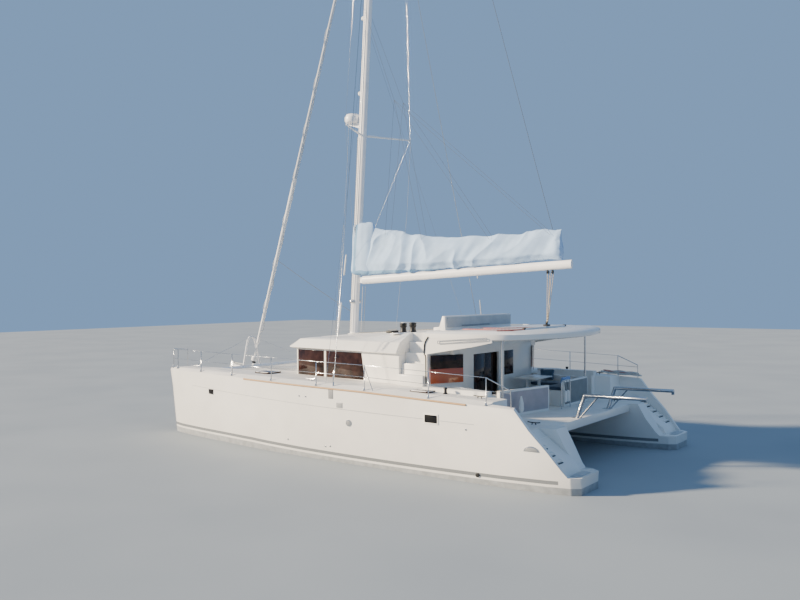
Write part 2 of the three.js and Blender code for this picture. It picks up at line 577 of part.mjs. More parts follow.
function hardtop() {
  const loop = (grow, z) => {
    const shrink = ([x, y]) => [x + (x < -4600 ? grow * 1.2 : 0), y - grow * Math.min(1, y / 2500), z];
    const notchX = ROOF_AFT_X - GAP;
    const notchY = BRIDGE_HALF + GAP;
    const front = [[notchX, 0, z], [notchX, notchY, z], [TOP_LINE[0][0], notchY, z]];
    return [...front, ...TOP_LINE.map(shrink), ...TOP_TAIL.map(shrink)];
  };
  const slab = loops([loop(70, TOP.under), loop(0, TOP.low), loop(0, TOP.high), loop(150, TOP.top)]);
  const skirt = cut(strip(TOP_LINE, 5, 75, 2600, TOP.high),
    prism([...ARCH_LINE, [-4500, 2500], [-2590, 2500]], 'y', 2400, 3000));
  const { x, half } = TRAVELLER;
  const track = box(x - 30, x + 30, -half, half, TOP.top - 5, TOP.top + 45);
  return join(slab, skirt, skirt.mirror([0, 1, 0]), track);
}
const hardtopSolid = hardtop();
piece('hardtop', hardtopSolid, 'gelcoat');

SIDES.forEach(([name, side]) => {
  const post = rod([POST.x, POST.y, SOLE_Z + GAP], [POST.x, POST.y, TOP.under - GAP], POST.radius, 12);
  piece(`post_${name}`, mirrored(post, side), 'steel');
});

// Flybridge stairs in the side recesses
function stairs() {
  const rise = 265;
  const line = [[2880, 1800]];
  [2880, 2710, 2540, 2375].forEach((y, i) => {
    const z = 1935 + (i + 1) * rise;
    line.push([y, z], [i < 3 ? y - 170 : 2233, z]);
  });
  line.push([2233, 1800]);
  return onDeck(prism(line, 'x', RECESS.aft + 60, RECESS.front - 8));
}
const stairSolid = stairs();
SIDES.forEach(([name, side]) => piece(`stairs_${name}`, mirrored(stairSolid, side), 'gelcoat'));

// Aft bulkhead with its door and panes
const BULK_LINE = [[-2600, -2780], [-3060, -1800], [-3060, 1800], [-2600, 2780]];
const DOOR = { port: 1340, middle: 690, starboard: 30, low: 1260, top: 2660 };
const FIXED_PANE = { port: -250, starboard: -760 };

function bulkhead() {
  const wall = strip(BULK_LINE, -WALL, WALL, SOLE_Z + GAP, TOP.under - GAP);
  const doorway = box(-3200, -2900, DOOR.starboard, DOOR.port, DOOR.low, DOOR.top);
  const pane = box(-3200, -2900, FIXED_PANE.starboard, FIXED_PANE.port, 2000, DOOR.top);
  const sideCut = prism([[-3010, 2060], [-3010, 2690], [-2680, 2690], [-2680, 2060]], 'y', -3000, 3000)
    .subtract(box(-4000, 0, -1900, 1900, 1000, 4000));
  const open = cut(wall, doorway, pane, sideCut);
  return clear(clear(onDeck(open), coachroofSolid), hardtopSolid);
}
piece('bulkhead', bulkhead(), 'gelcoat');

function framedPane(y0, y1, x, low, top) {
  const frame = box(x, x + 36, y0, y1, low, top);
  const hole = box(x - 5, x + 41, y0 + 55, y1 - 55, low + 60, top - 60);
  const glass = box(x + 14, x + 22, y0 + 50, y1 - 50, low + 55, top - 55);
  return join(cut(frame, hole), glass);
}
const doorRail = box(-2995, -2905, DOOR.starboard - 60, DOOR.port + 60, SOLE_Z + GAP, DOOR.low - 2);
piece('door_sill', doorRail, 'alloy');
const slidingPane = framedPane(DOOR.starboard - 20, DOOR.middle + 40, -2945, DOOR.low - 1.5, DOOR.top + 30);
piece('door_sliding', slidingPane, 'alloy');
const fixedPane = framedPane(DOOR.middle - 20, DOOR.port + 30, -2992, DOOR.low - 1.7, DOOR.top + 30);
piece('door_fixed', fixedPane, 'alloy');

// Cockpit seats, cushions and table
const BENCH_TOP = 1620;
const BACK_TOP = 1850;
const CUSHION = 90;
const AFT_BENCH = [[-4230, 2050], [-4600, 150], [-4030, 40], [-3690, 1850]];
const SIDE_BENCH = { outer: -2140, inner: -1500, front: -3150, aft: -4650, end: -650, deep: 620, back: 90 };

function aftBench() {
  const base = prism(AFT_BENCH, 'z', SOLE_Z + GAP, BENCH_TOP);
  const back = prism([...AFT_BENCH.slice(0, 2), [-4510, 132], [-4140, 2032]], 'z', BENCH_TOP - 5, BACK_TOP);
  return join(base, back);
}

function sideBench() {
  const { outer, inner, front, aft, end, deep, back } = SIDE_BENCH;
  const low = SOLE_Z + GAP;
  const top = BACK_TOP + 30;
  return join(
    box(aft, front, outer, inner, low, BENCH_TOP),
    box(aft, aft + deep, inner - 5, end, low, BENCH_TOP),
    box(aft, front, outer, outer + back, BENCH_TOP - 5, top),
    box(aft, aft + back, outer, end, BENCH_TOP - 5, top),
  );
}

function seatPad(outline, thick) {
  return prism(outline, 'z', BENCH_TOP + GAP, BENCH_TOP + thick);
}

piece('bench_aft', aftBench(), 'gelcoat');
piece('bench_side', sideBench(), 'gelcoat');
piece('cushion_aft', seatPad([[-4140, 1990], [-4490, 190], [-4060, 100], [-3730, 1830]], CUSHION), 'cushion');
piece('cushion_side', seatPad([
  [-3180, SIDE_BENCH.inner], [-3180, -2040], [-4550, -2040], [-4550, -670], [-4050, -670],
  [-4050, SIDE_BENCH.inner],
], CUSHION), 'cushion');

function table() {
  const top = box(-3950, -3250, -1380, -420, 1890, 1930);
  const legs = [-3780, -3420].map((x) => rod([x, -900, SOLE_Z + GAP], [x, -900, 1895], 45, 12));
  return join(top, ...legs);
}
piece('cockpit_table', table(), 'gelcoat');

// Davits on the aft beam
const DAVIT = { y: 950, footX: -5720, kneeX: -5930, kneeZ: 1755, endX: -7450, endZ: 1775, radius: 45 };
SIDES.forEach(([name, side]) => {
  const { y, footX, kneeX, kneeZ, endX, endZ, radius } = DAVIT;
  const arm = bentBar([[footX, y, 1150], [kneeX, y, kneeZ], [endX, y, endZ]], radius, 10);
  const foot = box(footX - 110, footX + 110, y - 80, y + 80, SOLE_Z - 60, SOLE_Z + 12);
  const eye = box(endX - 10, endX + 60, y - 12, y + 12, endZ - 95, endZ);
  const brace = rod([kneeX - 350, y, kneeZ], [footX - 60, y, 1180], 18, 8);
  const solid = cut(join(arm, foot, eye, brace), box(-6500, -5000, 0, 2000, 1000, SOLE_Z + GAP));
  piece(`davit_${name}`, mirrored(solid, side), 'steel');
});

// Mast with its spreaders
const MAST = { wide: 95, long: 140, sides: 12 };
const SPREADER = { x: 1010, y: 1560 };
const UPPER_SPREADER = { z: 14600, y: 1150, sweep: 480 };
const FORESTAY_TOP = { z: 17950 };

function mastRing(z, scale) {
  return Array.from({ length: MAST.sides }, (_, i) => {
    const angle = (2 * Math.PI * i) / MAST.sides;
    return [mastX(z) + MAST.long * scale * Math.cos(angle), MAST.wide * scale * Math.sin(angle), z];
  });
}

function mast() {
  const rings = [mastRing(MAST_FOOT.z + GAP, 1), mastRing(20000, 1), mastRing(MAST_TOP_Z, 0.7)];
  const tube = loft(rings, FROM_ABOVE);
  const arms = [1, -1].flatMap((side) => [
    rod([mastX(SPREADER_Z), side * 60, SPREADER_Z], [SPREADER.x, side * SPREADER.y, SPREADER_Z], 34, 8, 22),
    rod([mastX(UPPER_SPREADER.z), side * 60, UPPER_SPREADER.z],
      [mastX(UPPER_SPREADER.z) - UPPER_SPREADER.sweep, side * UPPER_SPREADER.y, UPPER_SPREADER.z], 32, 8, 20),
  ]);
  const topX = mastX(FORESTAY_TOP.z) + MAST.long;
  const toggle = box(topX - 30, topX + 60, -12, 12, FORESTAY_TOP.z - 90, FORESTAY_TOP.z);
  const lugs = [1, -1].map((way) => box(GOOSENECK.x - 45, GOOSENECK.x + 130, -40, 40,
    GOOSENECK.z + way * 75 - 12, GOOSENECK.z + way * 75 + 12));
  const pin = rod([GOOSENECK.x, 0, GOOSENECK.z - 80], [GOOSENECK.x, 0, GOOSENECK.z + 80], 12, 12);
  return join(tube, ...arms, toggle, ...lugs, pin);
}
piece('mast', mast(), 'alloy');

// Radome on its bracket, forward of the mast
const RADOME = { x: 2060, low: 9480, top: 9760, radius: 250 };
function radome() {
  const profile = [[0, RADOME.low], [RADOME.radius * 0.86, RADOME.low], [RADOME.radius, RADOME.low + 60],
    [RADOME.radius, RADOME.top - 110], [RADOME.radius * 0.8, RADOME.top - 20], [0, RADOME.top]];
  const dome = new THREE.LatheGeometry(profile.map(([r, z]) => new THREE.Vector2(r, z)), 20);
  dome.rotateX(Math.PI / 2);
  dome.translate(RADOME.x, 0, 0);
  const face = mastX(9300) + MAST.long;
  const bracket = prism([
    [face + 1, 9300], [face - 8, 9470], [RADOME.x + 150, 9490], [RADOME.x + 150, 9440],
  ], 'y', -35, 35);
  return cut(join(toSolid(dome), bracket), mastRingSolid());
}
function mastRingSolid() {
  return loft([mastRing(9000, 1.004), mastRing(9900, 1.004)], FROM_ABOVE);
}
piece('radome', radome(), 'alloy');

// Boom with the cover of the folded mainsail on it
const BOOM = { wide: 85, high: 125, aftZ: 4960 };
function boomZ(x) {
  return GOOSENECK.z + ((GOOSENECK.x - x) / (GOOSENECK.x - BOOM_END_X)) * (BOOM.aftZ - GOOSENECK.z);
}
function boomRing(x, scale) {
  return Array.from({ length: 12 }, (_, i) => {
    const angle = (2 * Math.PI * i) / 12;
    return [x, BOOM.wide * scale * Math.cos(angle), boomZ(x) + BOOM.high * scale * Math.sin(angle)];
  });
}
function boom() {
  const tube = loft([boomRing(GOOSENECK.x - 70, 1), boomRing(BOOM_END_X, 0.9)]);
  const tongue = box(GOOSENECK.x - 75, GOOSENECK.x + 28, -26, 26, GOOSENECK.z - 61, GOOSENECK.z + 61);
  return cut(join(tube, tongue), rod([GOOSENECK.x, 0, 4500], [GOOSENECK.x, 0, 4800], 12.6, 12));
}
const boomSolid = boom();
piece('boom', boomSolid, 'alloy');

// Cover stations: x, height of the crest, half breadth low down and near the crest
const COVER = [
  { x: 1500, top: 6380, low: 130, high: 90 },
  { x: 600, top: 6200, low: 170, high: 110 },
  { x: -600, top: 5950, low: 180, high: 110 },
  { x: -2200, top: 5870, low: 170, high: 100 },
  { x: -3800, top: 5890, low: 150, high: 80 },
  { x: -4950, top: 5940, low: 110, high: 50 },
];
function cover() {
  const bag = loft(COVER.map(({ x, top, low, high }) => {
    const base = boomZ(x) + BOOM.high - 30;
    const tall = top - base;
    return [[low * 0.6, 0], [low, 0.22], [high, 0.75], [high * 0.4, 0.98], [-high * 0.4, 0.98], [-high, 0.75],
      [-low, 0.22], [-low * 0.6, 0]].map(([y, part]) => [x, y, base + tall * part]);
  }));
  return clear(bag, boomSolid);
}
piece('sail_cover', cover(), 'fabric');

// Furled headsail on its stay
function stayPoint(z) {
  const part = (z - TACK.z) / (FORESTAY_TOP.z - TACK.z);
  const topX = mastX(FORESTAY_TOP.z) + MAST.long;
  return [TACK.x + part * (topX - TACK.x), 0, z];
}
function genoa() {
  return join(
    rod(stayPoint(TACK.z + 3.2), stayPoint(FORESTAY_TOP.z - 90 - 3.2), 9, 8),
    rod(stayPoint(TACK.z + 110), stayPoint(TACK.z + 250), 95, 16),
    rod(stayPoint(TACK.z + 240), stayPoint(TACK.z + 700), 26, 10),
    rod(stayPoint(TACK.z + 690), stayPoint(8000), 52, 10, 66),
    rod(stayPoint(7990), stayPoint(16900), 66, 10, 34),
  );
}
piece('headsail_furled', genoa(), 'fabric');

// Main shrouds
SIDES.forEach(([name, side]) => {
  const foot = [CHAINPLATE.x, CHAINPLATE.y, CHAINPLATE.z - 200];
  const head = [mastX(HOUNDS_Z) - 30, 90, HOUNDS_Z];
  const wire = rod(foot, head, 9, 8);
  const bottle = rod(foot, [-370, 3720, 2150], 22, 8);
  const mastPlace = loft([mastRing(18000, 1.004), mastRing(19900, 1.004)], FROM_ABOVE);
  const trimmedWire = cut(trimmed(join(wire, bottle), 0, 0, GAP), mastPlace);
  piece(`shroud_${name}`, mirrored(trimmedWire, side), 'steel');
});

// Guard rails of one side: posts, top and middle wires, pulpit and pushpit
function sheerLine(x) {
  const rows = STATIONS.map((row) => [row.xSheer, row.out, row.sheer]);
  const i = Math.max(1, rows.findIndex(([at]) => at <= x));
  const [x0, out0, z0] = rows[i - 1];
  const [x1, out1, z1] = rows[i];
  const part = (x - x0) / (x1 - x0);
  return [HULL_Y + out0 + part * (out1 - out0), z0 + part * (z1 - z0)];
}

function rails(side) {
  const inset = 70;
  const height = { top: 630, middle: 340 };
  const postX = [6700, 6350, 5100, 3600, 1850, 150, -1450, -3350, -4880];
  const at = (x, up) => {
    const [y, z] = sheerLine(x);
    return [x, y - inset, z + up];
  };
  const posts = postX.map((x) => rod(at(x, -60), at(x, height.top), 13, 8));
  const run = (up) => postX.slice(1).map((x, i) => rod(at(postX[i], up), at(x, up), 6, 6));
  const tail = bentBar([at(-4880, height.top), at(-5480, 400), at(-5490, -60)], 12, 6);
  const tailWire = rod(at(-4880, height.middle), at(-5488, height.middle), 6, 6);
  const bowZ = 1910 + height.top;
  const bow = bentBar([at(6350, height.top), at(6700, height.top), [6720, HULL_Y - 90, bowZ],
    [6400, HULL_Y - 160, bowZ], [6400, HULL_Y - 150, 1900]], 12, 6);
  const gateBrace = rod(at(-1450, height.top - 30), at(-1750, -60), 10, 6);
  const solid = join(...posts, ...run(height.top), ...run(height.middle), tail, tailWire, bow, gateBrace);
  return mirrored(trimmed(solid, 0, 0, GAP), side);
}

// Deck hatch lids
const HATCHES = [
  { name: 'hatch_fore', x: 2900, y: 2850, long: 560, wide: 480, top: 2030 },
  { name: 'hatch_aft', x: -2900, y: 3400, long: 520, wide: 330, top: 1925 },
];
HATCHES.forEach(({ name, x, y, long, wide, top }) => {
  const lid = onDeck(box(x - long / 2, x + long / 2, y - wide / 2, y + wide / 2, top - 90, top));
  SIDES.forEach(([place, side]) => piece(`${name}_${place}`, mirrored(lid, side), 'glass'));
});

export default craft;
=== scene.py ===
"""Looks of a cruising sailing catamaran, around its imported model.

Metres, +X to the bow, +Y to port, +Z up, the origin on the waterline amidships.
"""

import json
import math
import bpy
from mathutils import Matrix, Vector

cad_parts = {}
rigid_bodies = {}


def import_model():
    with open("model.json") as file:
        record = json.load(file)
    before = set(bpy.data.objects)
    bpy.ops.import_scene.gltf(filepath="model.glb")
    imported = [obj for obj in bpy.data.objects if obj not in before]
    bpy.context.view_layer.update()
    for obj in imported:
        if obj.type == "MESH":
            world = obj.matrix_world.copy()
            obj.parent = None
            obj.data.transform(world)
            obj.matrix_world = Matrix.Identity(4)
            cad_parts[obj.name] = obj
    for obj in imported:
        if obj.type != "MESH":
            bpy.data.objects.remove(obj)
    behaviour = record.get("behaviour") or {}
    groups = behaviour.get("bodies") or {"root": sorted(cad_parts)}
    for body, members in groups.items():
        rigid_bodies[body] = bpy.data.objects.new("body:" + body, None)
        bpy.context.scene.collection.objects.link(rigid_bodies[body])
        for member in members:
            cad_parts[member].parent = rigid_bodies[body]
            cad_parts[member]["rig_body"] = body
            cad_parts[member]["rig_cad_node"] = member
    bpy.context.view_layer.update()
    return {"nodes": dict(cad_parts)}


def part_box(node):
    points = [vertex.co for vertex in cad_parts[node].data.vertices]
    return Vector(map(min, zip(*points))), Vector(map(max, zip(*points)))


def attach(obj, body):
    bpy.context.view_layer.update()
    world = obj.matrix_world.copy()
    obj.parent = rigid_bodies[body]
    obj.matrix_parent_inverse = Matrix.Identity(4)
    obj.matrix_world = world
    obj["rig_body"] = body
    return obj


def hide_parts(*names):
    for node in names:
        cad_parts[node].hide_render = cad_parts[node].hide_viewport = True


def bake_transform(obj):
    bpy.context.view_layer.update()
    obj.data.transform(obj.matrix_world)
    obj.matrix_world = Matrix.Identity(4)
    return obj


bl_info = {
    "name": "Sailing Catamaran",
    "version": (1, 1, 0),
    "blender": (4, 5, 0),
    "location": "3D View > Sidebar > Catamaran",
    "description": "Finishes, fittings, rigging, canvas and stage of a cruising sailing catamaran",
    "category": "Add Mesh",
}

import bmesh
import bpy
from mathutils import Matrix, Vector, noise
from mathutils.bvhtree import BVHTree

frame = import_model()
NODES = frame["nodes"]
SIDES = (("port", 1), ("starboard", -1))
SURFACES = {
    name: BVHTree.FromPolygons([vertex.co for vertex in node.data.vertices],
                               [face.vertices for face in node.data.polygons])
    for name, node in NODES.items()
}


class CatamaranSizes(bpy.types.PropertyGroup):
    """Sizes of what is fitted to the boat"""

    stripe: bpy.props.FloatProperty(
        name="Boot stripe", description="Width of the grey stripe", default=0.08, subtype="DISTANCE")
    stripe_rise: bpy.props.FloatProperty(
        name="Stripe height", description="Lowest height of its top above the waterline", default=0.235,
        subtype="DISTANCE")
    white_line: bpy.props.FloatProperty(
        name="White line", description="Width of the white line under the stripe", default=0.055,
        subtype="DISTANCE")
    sheet: bpy.props.FloatProperty(
        name="Sheets", description="Diameter of the sheets and halyards", default=0.016, subtype="DISTANCE")
    wire: bpy.props.FloatProperty(
        name="Wire", description="Diameter of the standing wires", default=0.008, subtype="DISTANCE")
    cleat: bpy.props.FloatProperty(
        name="Cleats", description="Length of the deck cleats", default=0.32, subtype="DISTANCE")
    fender: bpy.props.FloatProperty(
        name="Fenders", description="Diameter of the small fenders", default=0.13, subtype="DISTANCE")


class CatamaranColours(bpy.types.PropertyGroup):
    """Colours of the finishes"""

    gelcoat: bpy.props.StringProperty(name="Gelcoat", description="sRGB hex", default="#F4F2EC")
    stripe: bpy.props.StringProperty(name="Boot stripe", description="sRGB hex", default="#7E8284")
    antifoul: bpy.props.StringProperty(name="Bottom paint", description="sRGB hex", default="#A2A6A8")
    canvas: bpy.props.StringProperty(name="Sail cover", description="sRGB hex", default="#B2D0F2")
    upholstery: bpy.props.StringProperty(name="Cushions", description="sRGB hex", default="#3F4E60")
    teak: bpy.props.StringProperty(name="Teak", description="sRGB hex", default="#C8A070")


# Materials

def linear(code):
    """An sRGB hex colour as linear RGBA."""
    values = [int(code[i:i + 2], 16) / 255 for i in (1, 3, 5)]
    bent = [v / 12.92 if v <= 0.04045 else ((v + 0.055) / 1.055) ** 2.4 for v in values]
    return (*bent, 1.0)


def add(tree, kind, inputs=(), **settings):
    """Adds a node; inputs maps sockets to values or to the sockets that feed them."""
    made = tree.nodes.new(kind)
    for key, value in settings.items():
        setattr(made, key, value)
    for key, value in dict(inputs).items():
        if isinstance(value, bpy.types.NodeSocket):
            tree.links.new(value, made.inputs[key])
        else:
            made.inputs[key].default_value = value
    return made


def blank(name, **sockets):
    """A material with one Principled shader, whose fixed values are given by socket name."""
    material = bpy.data.materials.new(name)
    material.use_nodes = True
    tree = material.node_tree
    shader = next(n for n in tree.nodes if n.type == "BSDF_PRINCIPLED")
    for key, value in sockets.items():
        shader.inputs[key.replace("_", " ")].default_value = value
    return material, tree, shader


def place(tree):
    """Object coordinates, in metres."""
    return add(tree, "ShaderNodeTexCoord").outputs["Object"]


def tint(tree, where, low, high, size_mm, detail=3.0, start=0.35, stop=0.65):
    """A soft mottle between two colours, its patches about size_mm across."""
    mottle = add(tree, "ShaderNodeTexNoise", {"Vector": where, "Scale": 1000 / size_mm, "Detail": detail})
    ramp = add(tree, "ShaderNodeValToRGB", {"Fac": mottle.outputs["Fac"]})
    ramp.color_ramp.elements[0].position = start
    ramp.color_ramp.elements[0].color = low
    ramp.color_ramp.elements[1].position = stop
    ramp.color_ramp.elements[1].color = high
    return ramp.outputs["Color"]


def relief(tree, shader, height, depth_mm, strength=1.0):
    """Bump of a real depth in millimetres."""
    bump = add(tree, "ShaderNodeBump", {"Height": height, "Distance": depth_mm / 1000, "Strength": strength})
    tree.links.new(bump.outputs["Normal"], shader.inputs["Normal"])


def shade(code, factor):
    """The same colour, lighter or darker."""
    r, g, b, a = linear(code)
    return (min(1.0, r * factor), min(1.0, g * factor), min(1.0, b * factor), a)


def gelcoat_smooth(name, code):
    # Polyester gelcoat from a polished mould: white, glossy, with the faint waviness of a hand laid laminate
    material, tree, shader = blank(name, Roughness=0.24, Coat_Weight=0.3, Coat_Roughness=0.12)
    where = place(tree)
    colour = tint(tree, where, shade(code, 0.95), shade(code, 1.02), 900)
    tree.links.new(colour, shader.inputs["Base Color"])
    wave = add(tree, "ShaderNodeTexNoise", {"Vector": where, "Scale": 1000 / 450, "Detail": 2.0})
    relief(tree, shader, wave.outputs["Fac"], 1.5, 0.35)
    return material


# The boot stripe climbs from its lowest point as a parabola, up to a limit, and ends short of the stern
STRIPE = {"lowest_x": -1.9, "reach": 4.6, "climb": 0.055, "end_x": -6.55}


def hull_gelcoat(sizes, colours):
    # The same gelcoat, darker towards the waterline, with a grey boot stripe, a white line and the bottom
    # paint
    material, tree, shader = blank("gelcoat_hull", Coat_Weight=0.25, Coat_Roughness=0.15)
    where = place(tree)

    def math_node(operation, first, second):
        return add(tree, "ShaderNodeMath", {0: first, 1: second}, operation=operation).outputs[0]

    split = add(tree, "ShaderNodeSeparateXYZ", {"Vector": where})
    along = math_node("DIVIDE", math_node("SUBTRACT", split.outputs["X"], STRIPE["lowest_x"]),
                      STRIPE["reach"])
    climb = math_node("MULTIPLY", math_node("MULTIPLY", along, along), STRIPE["climb"])
    rise = math_node("MINIMUM", math_node("ADD", climb, sizes.stripe_rise),
                     sizes.stripe_rise + STRIPE["climb"])
    level = math_node("SUBTRACT", split.outputs["Z"], rise)
    white = tint(tree, where, shade(colours.gelcoat, 0.94), shade(colours.gelcoat, 1.02), 1100)
    # The white darkens towards the waterline: to 0.9 of itself at 0.2 m, untouched from 1.1 m up
    low_darkening = add(tree, "ShaderNodeMapRange", {
        "Value": split.outputs["Z"], "From Min": 0.2, "From Max": 1.1, "To Min": 0.9, "To Max": 1.0})
    white_darker_low = add(tree, "ShaderNodeMix", {0: 1.0, 6: white, 7: low_darkening.outputs["Result"]},
                 data_type="RGBA", blend_type="MULTIPLY").outputs[2]
    band = math_node("MULTIPLY", math_node("GREATER_THAN", level, -sizes.stripe),
                     math_node("LESS_THAN", level, 0.0))
    stripe = math_node("MULTIPLY", band, math_node("GREATER_THAN", split.outputs["X"], STRIPE["end_x"]))
    striped = add(tree, "ShaderNodeMix", {0: stripe, 6: white_darker_low, 7: linear(colours.stripe)},
                  data_type="RGBA").outputs[2]
    foul = math_node("LESS_THAN", level, -sizes.stripe - sizes.white_line)
    paint = tint(tree, where, shade(colours.antifoul, 0.8), shade(colours.antifoul, 1.05), 160, 6.0)
    whole = add(tree, "ShaderNodeMix", {0: foul, 6: striped, 7: paint}, data_type="RGBA")
    tree.links.new(whole.outputs[2], shader.inputs["Base Color"])
    rough = add(tree, "ShaderNodeMapRange", {"Value": foul, "To Min": 0.24, "To Max": 0.6})
    tree.links.new(rough.outputs["Result"], shader.inputs["Roughness"])
    wave = add(tree, "ShaderNodeTexNoise", {"Vector": where, "Scale": 1000 / 600, "Detail": 2.0})
    relief(tree, shader, wave.outputs["Fac"], 2.0, 0.3)
    return material


def deck_gelcoat(code):
    # Non-skid gelcoat: a moulded grit of 12 mm lozenges, drawn coarser than real so that it shows
    material, tree, shader = blank("gelcoat_deck", Roughness=0.62)
    where = place(tree)
    colour = tint(tree, where, shade(code, 0.88), shade(code, 0.96), 350, 5.0)
    tree.links.new(colour, shader.inputs["Base Color"])
    grit = add(tree, "ShaderNodeTexVoronoi", {"Vector": where, "Scale": 1000 / 12}, distance="MANHATTAN")
    relief(tree, shader, grit.outputs["Distance"], 1.2, 0.5)
    return material


def painted_metal(name, code, roughness, grain_mm=1.5):
    # Aluminium under a baked lacquer: even, half glossy, with a slight orange peel
    material, tree, shader = blank(name, Roughness=roughness, Coat_Weight=0.2)
    where = place(tree)
    colour = tint(tree, where, shade(code, 0.93), shade(code, 1.03), 400, 4.0)
    tree.links.new(colour, shader.inputs["Base Color"])
    peel = add(tree, "ShaderNodeTexNoise", {"Vector": where, "Scale": 1000 / (grain_mm * 10), "Detail": 2.0})
    relief(tree, shader, peel.outputs["Fac"], 0.3, 0.3)
    return material


def bare_metal(name, code, roughness, spread, grain_mm=30):
    # Polished stainless steel or cast bronze: metal with faint wiping marks in its gloss
    material, tree, shader = blank(name, Metallic=1.0)
    where = place(tree)
    colour = tint(tree, where, shade(code, 0.85), linear(code), grain_mm * 8, 4.0)
    tree.links.new(colour, shader.inputs["Base Color"])
    marks = add(tree, "ShaderNodeTexNoise", {"Vector": where, "Scale": 1000 / grain_mm, "Detail": 6.0})
    gloss = add(tree, "ShaderNodeMapRange", {
        "Value": marks.outputs["Fac"], "To Min": roughness - spread, "To Max": roughness + spread})
    tree.links.new(gloss.outputs["Result"], shader.inputs["Roughness"])
    return material


def tinted_acrylic(name, low, high):
    # Cast acrylic, tinted brown or black: dark, with a weak reflection
    material, tree, shader = blank(name, Roughness=0.08, Specular_IOR_Level=0.3)
    colour = tint(tree, place(tree), linear(low), linear(high), 260, 4.0)
    tree.links.new(colour, shader.inputs["Base Color"])
    return material


def clear_glass():
    # Toughened glass of the doors: smoked, and a little see-through
    material, tree, shader = blank("glass_smoked", Roughness=0.04, Alpha=0.8)
    colour = tint(tree, place(tree), linear("#191312"), linear("#2A201D"), 500, 2.0)
    tree.links.new(colour, shader.inputs["Base Color"])
    return material


def woven(name, low, high, thread_mm, roughness, sheen=0.3):
    # Woven acrylic, polyester or sailcloth: matt, its threads drawn coarser than real so that they show
    material, tree, shader = blank(name, Roughness=roughness, Sheen_Weight=sheen, Sheen_Roughness=0.5)
    where = place(tree)
    colour = tint(tree, where, low, high, 420, 6.0)
    tree.links.new(colour, shader.inputs["Base Color"])
    waves = []
    for direction in ("X", "Z"):
        wave = add(tree, "ShaderNodeTexWave", {
            "Vector": where, "Scale": 1000 / (thread_mm * 6.283), "Distortion": 0.6, "Detail": 1.0},
            bands_direction=direction)
        waves.append(wave.outputs["Fac"])
    weave = add(tree, "ShaderNodeMath", {0: waves[0], 1: waves[1]}, operation="MULTIPLY")
    relief(tree, shader, weave.outputs[0], 0.5, 0.6)
    return material


def netting(code, pitch_mm=60, line_mm=14):
    # Knotted polyester net: lines on a square pitch, air between them
    material, tree, shader = blank("polyester_net", Roughness=0.8, Sheen_Weight=0.1)
    where = place(tree)
    colour = tint(tree, where, shade(code, 0.9), shade(code, 1.02), 300, 4.0)
    tree.links.new(colour, shader.inputs["Base Color"])
    split = add(tree, "ShaderNodeSeparateXYZ", {"Vector": where})
    lines = []
    for axis in ("X", "Y"):
        cell = add(tree, "ShaderNodeMath", {0: split.outputs[axis], 1: pitch_mm / 1000},
                   operation="FLOORED_MODULO")
        line = add(tree, "ShaderNodeMath", {0: cell.outputs[0], 1: line_mm / 1000}, operation="LESS_THAN")
        lines.append(line.outputs[0])
    either = add(tree, "ShaderNodeMath", {0: lines[0], 1: lines[1]}, operation="MAXIMUM")
    tree.links.new(either.outputs[0], shader.inputs["Alpha"])
    return material


def grained_wood(name, dark, light, coat=0.0, roughness=0.55):
    # Oiled teak, and the painted orange reflection beside the doors: straight grain along the boat
    material, tree, shader = blank(name, Roughness=roughness, Coat_Weight=coat, Coat_Roughness=0.05)
    along = add(tree, "ShaderNodeMapping", {"Vector": place(tree), "Scale": (0.06, 1.0, 1.0)})
    grain = add(tree, "ShaderNodeTexNoise", {
        "Vector": along.outputs["Vector"], "Scale": 1000 / 12, "Detail": 8.0, "Roughness": 0.6})
    ramp = add(tree, "ShaderNodeValToRGB", {"Fac": grain.outputs["Fac"]})
    ramp.color_ramp.elements[0].color = dark
    ramp.color_ramp.elements[1].color = light
    tree.links.new(ramp.outputs["Color"], shader.inputs["Base Color"])
    relief(tree, shader, grain.outputs["Fac"], 0.4, 0.5)
    return material


def plastic(name, code, roughness):
    # Moulded plastic, rubber or vinyl: one colour, fine leather grain, scuffed a little
    material, tree, shader = blank(name, Roughness=roughness)
    where = place(tree)
    colour = tint(tree, where, shade(code, 0.92), shade(code, 1.05), 260, 4.0)
    tree.links.new(colour, shader.inputs["Base Color"])
    grain = add(tree, "ShaderNodeTexVoronoi", {"Vector": where, "Scale": 1000 / 5})
    relief(tree, shader, grain.outputs["Distance"], 0.2, 0.4)
    return material


def braid(name, base, fleck, pitch_mm=26):
    # Braided polyester rope: diagonal strands with coloured tracers
    material, tree, shader = blank(name, Roughness=0.8, Sheen_Weight=0.2)
    turned_place = add(tree, "ShaderNodeMapping", {"Vector": place(tree), "Rotation": (0.6, 0.8, 0.4)})
    strand = add(tree, "ShaderNodeTexWave", {
        "Vector": turned_place.outputs["Vector"], "Scale": 1000 / (pitch_mm * 6.283), "Distortion": 1.5})
    ramp = add(tree, "ShaderNodeValToRGB", {"Fac": strand.outputs["Fac"]})
    ramp.color_ramp.elements[0].position = 0.2
    ramp.color_ramp.elements[0].color = linear(fleck)
    ramp.color_ramp.elements[1].position = 0.42
    ramp.color_ramp.elements[1].color = linear(base)
    tree.links.new(ramp.outputs["Color"], shader.inputs["Base Color"])
    relief(tree, shader, strand.outputs["Fac"], 1.0, 0.6)
    return material


def studio_floor():
    # Pale painted floor of the studio
    material, tree, shader = blank("floor_pale", Roughness=0.85)
    colour = tint(tree, place(tree), linear("#98A1A8"), linear("#9FA8AE"), 4000, 2.0)
    tree.links.new(colour, shader.inputs["Base Color"])
    return material


FINISH = {}


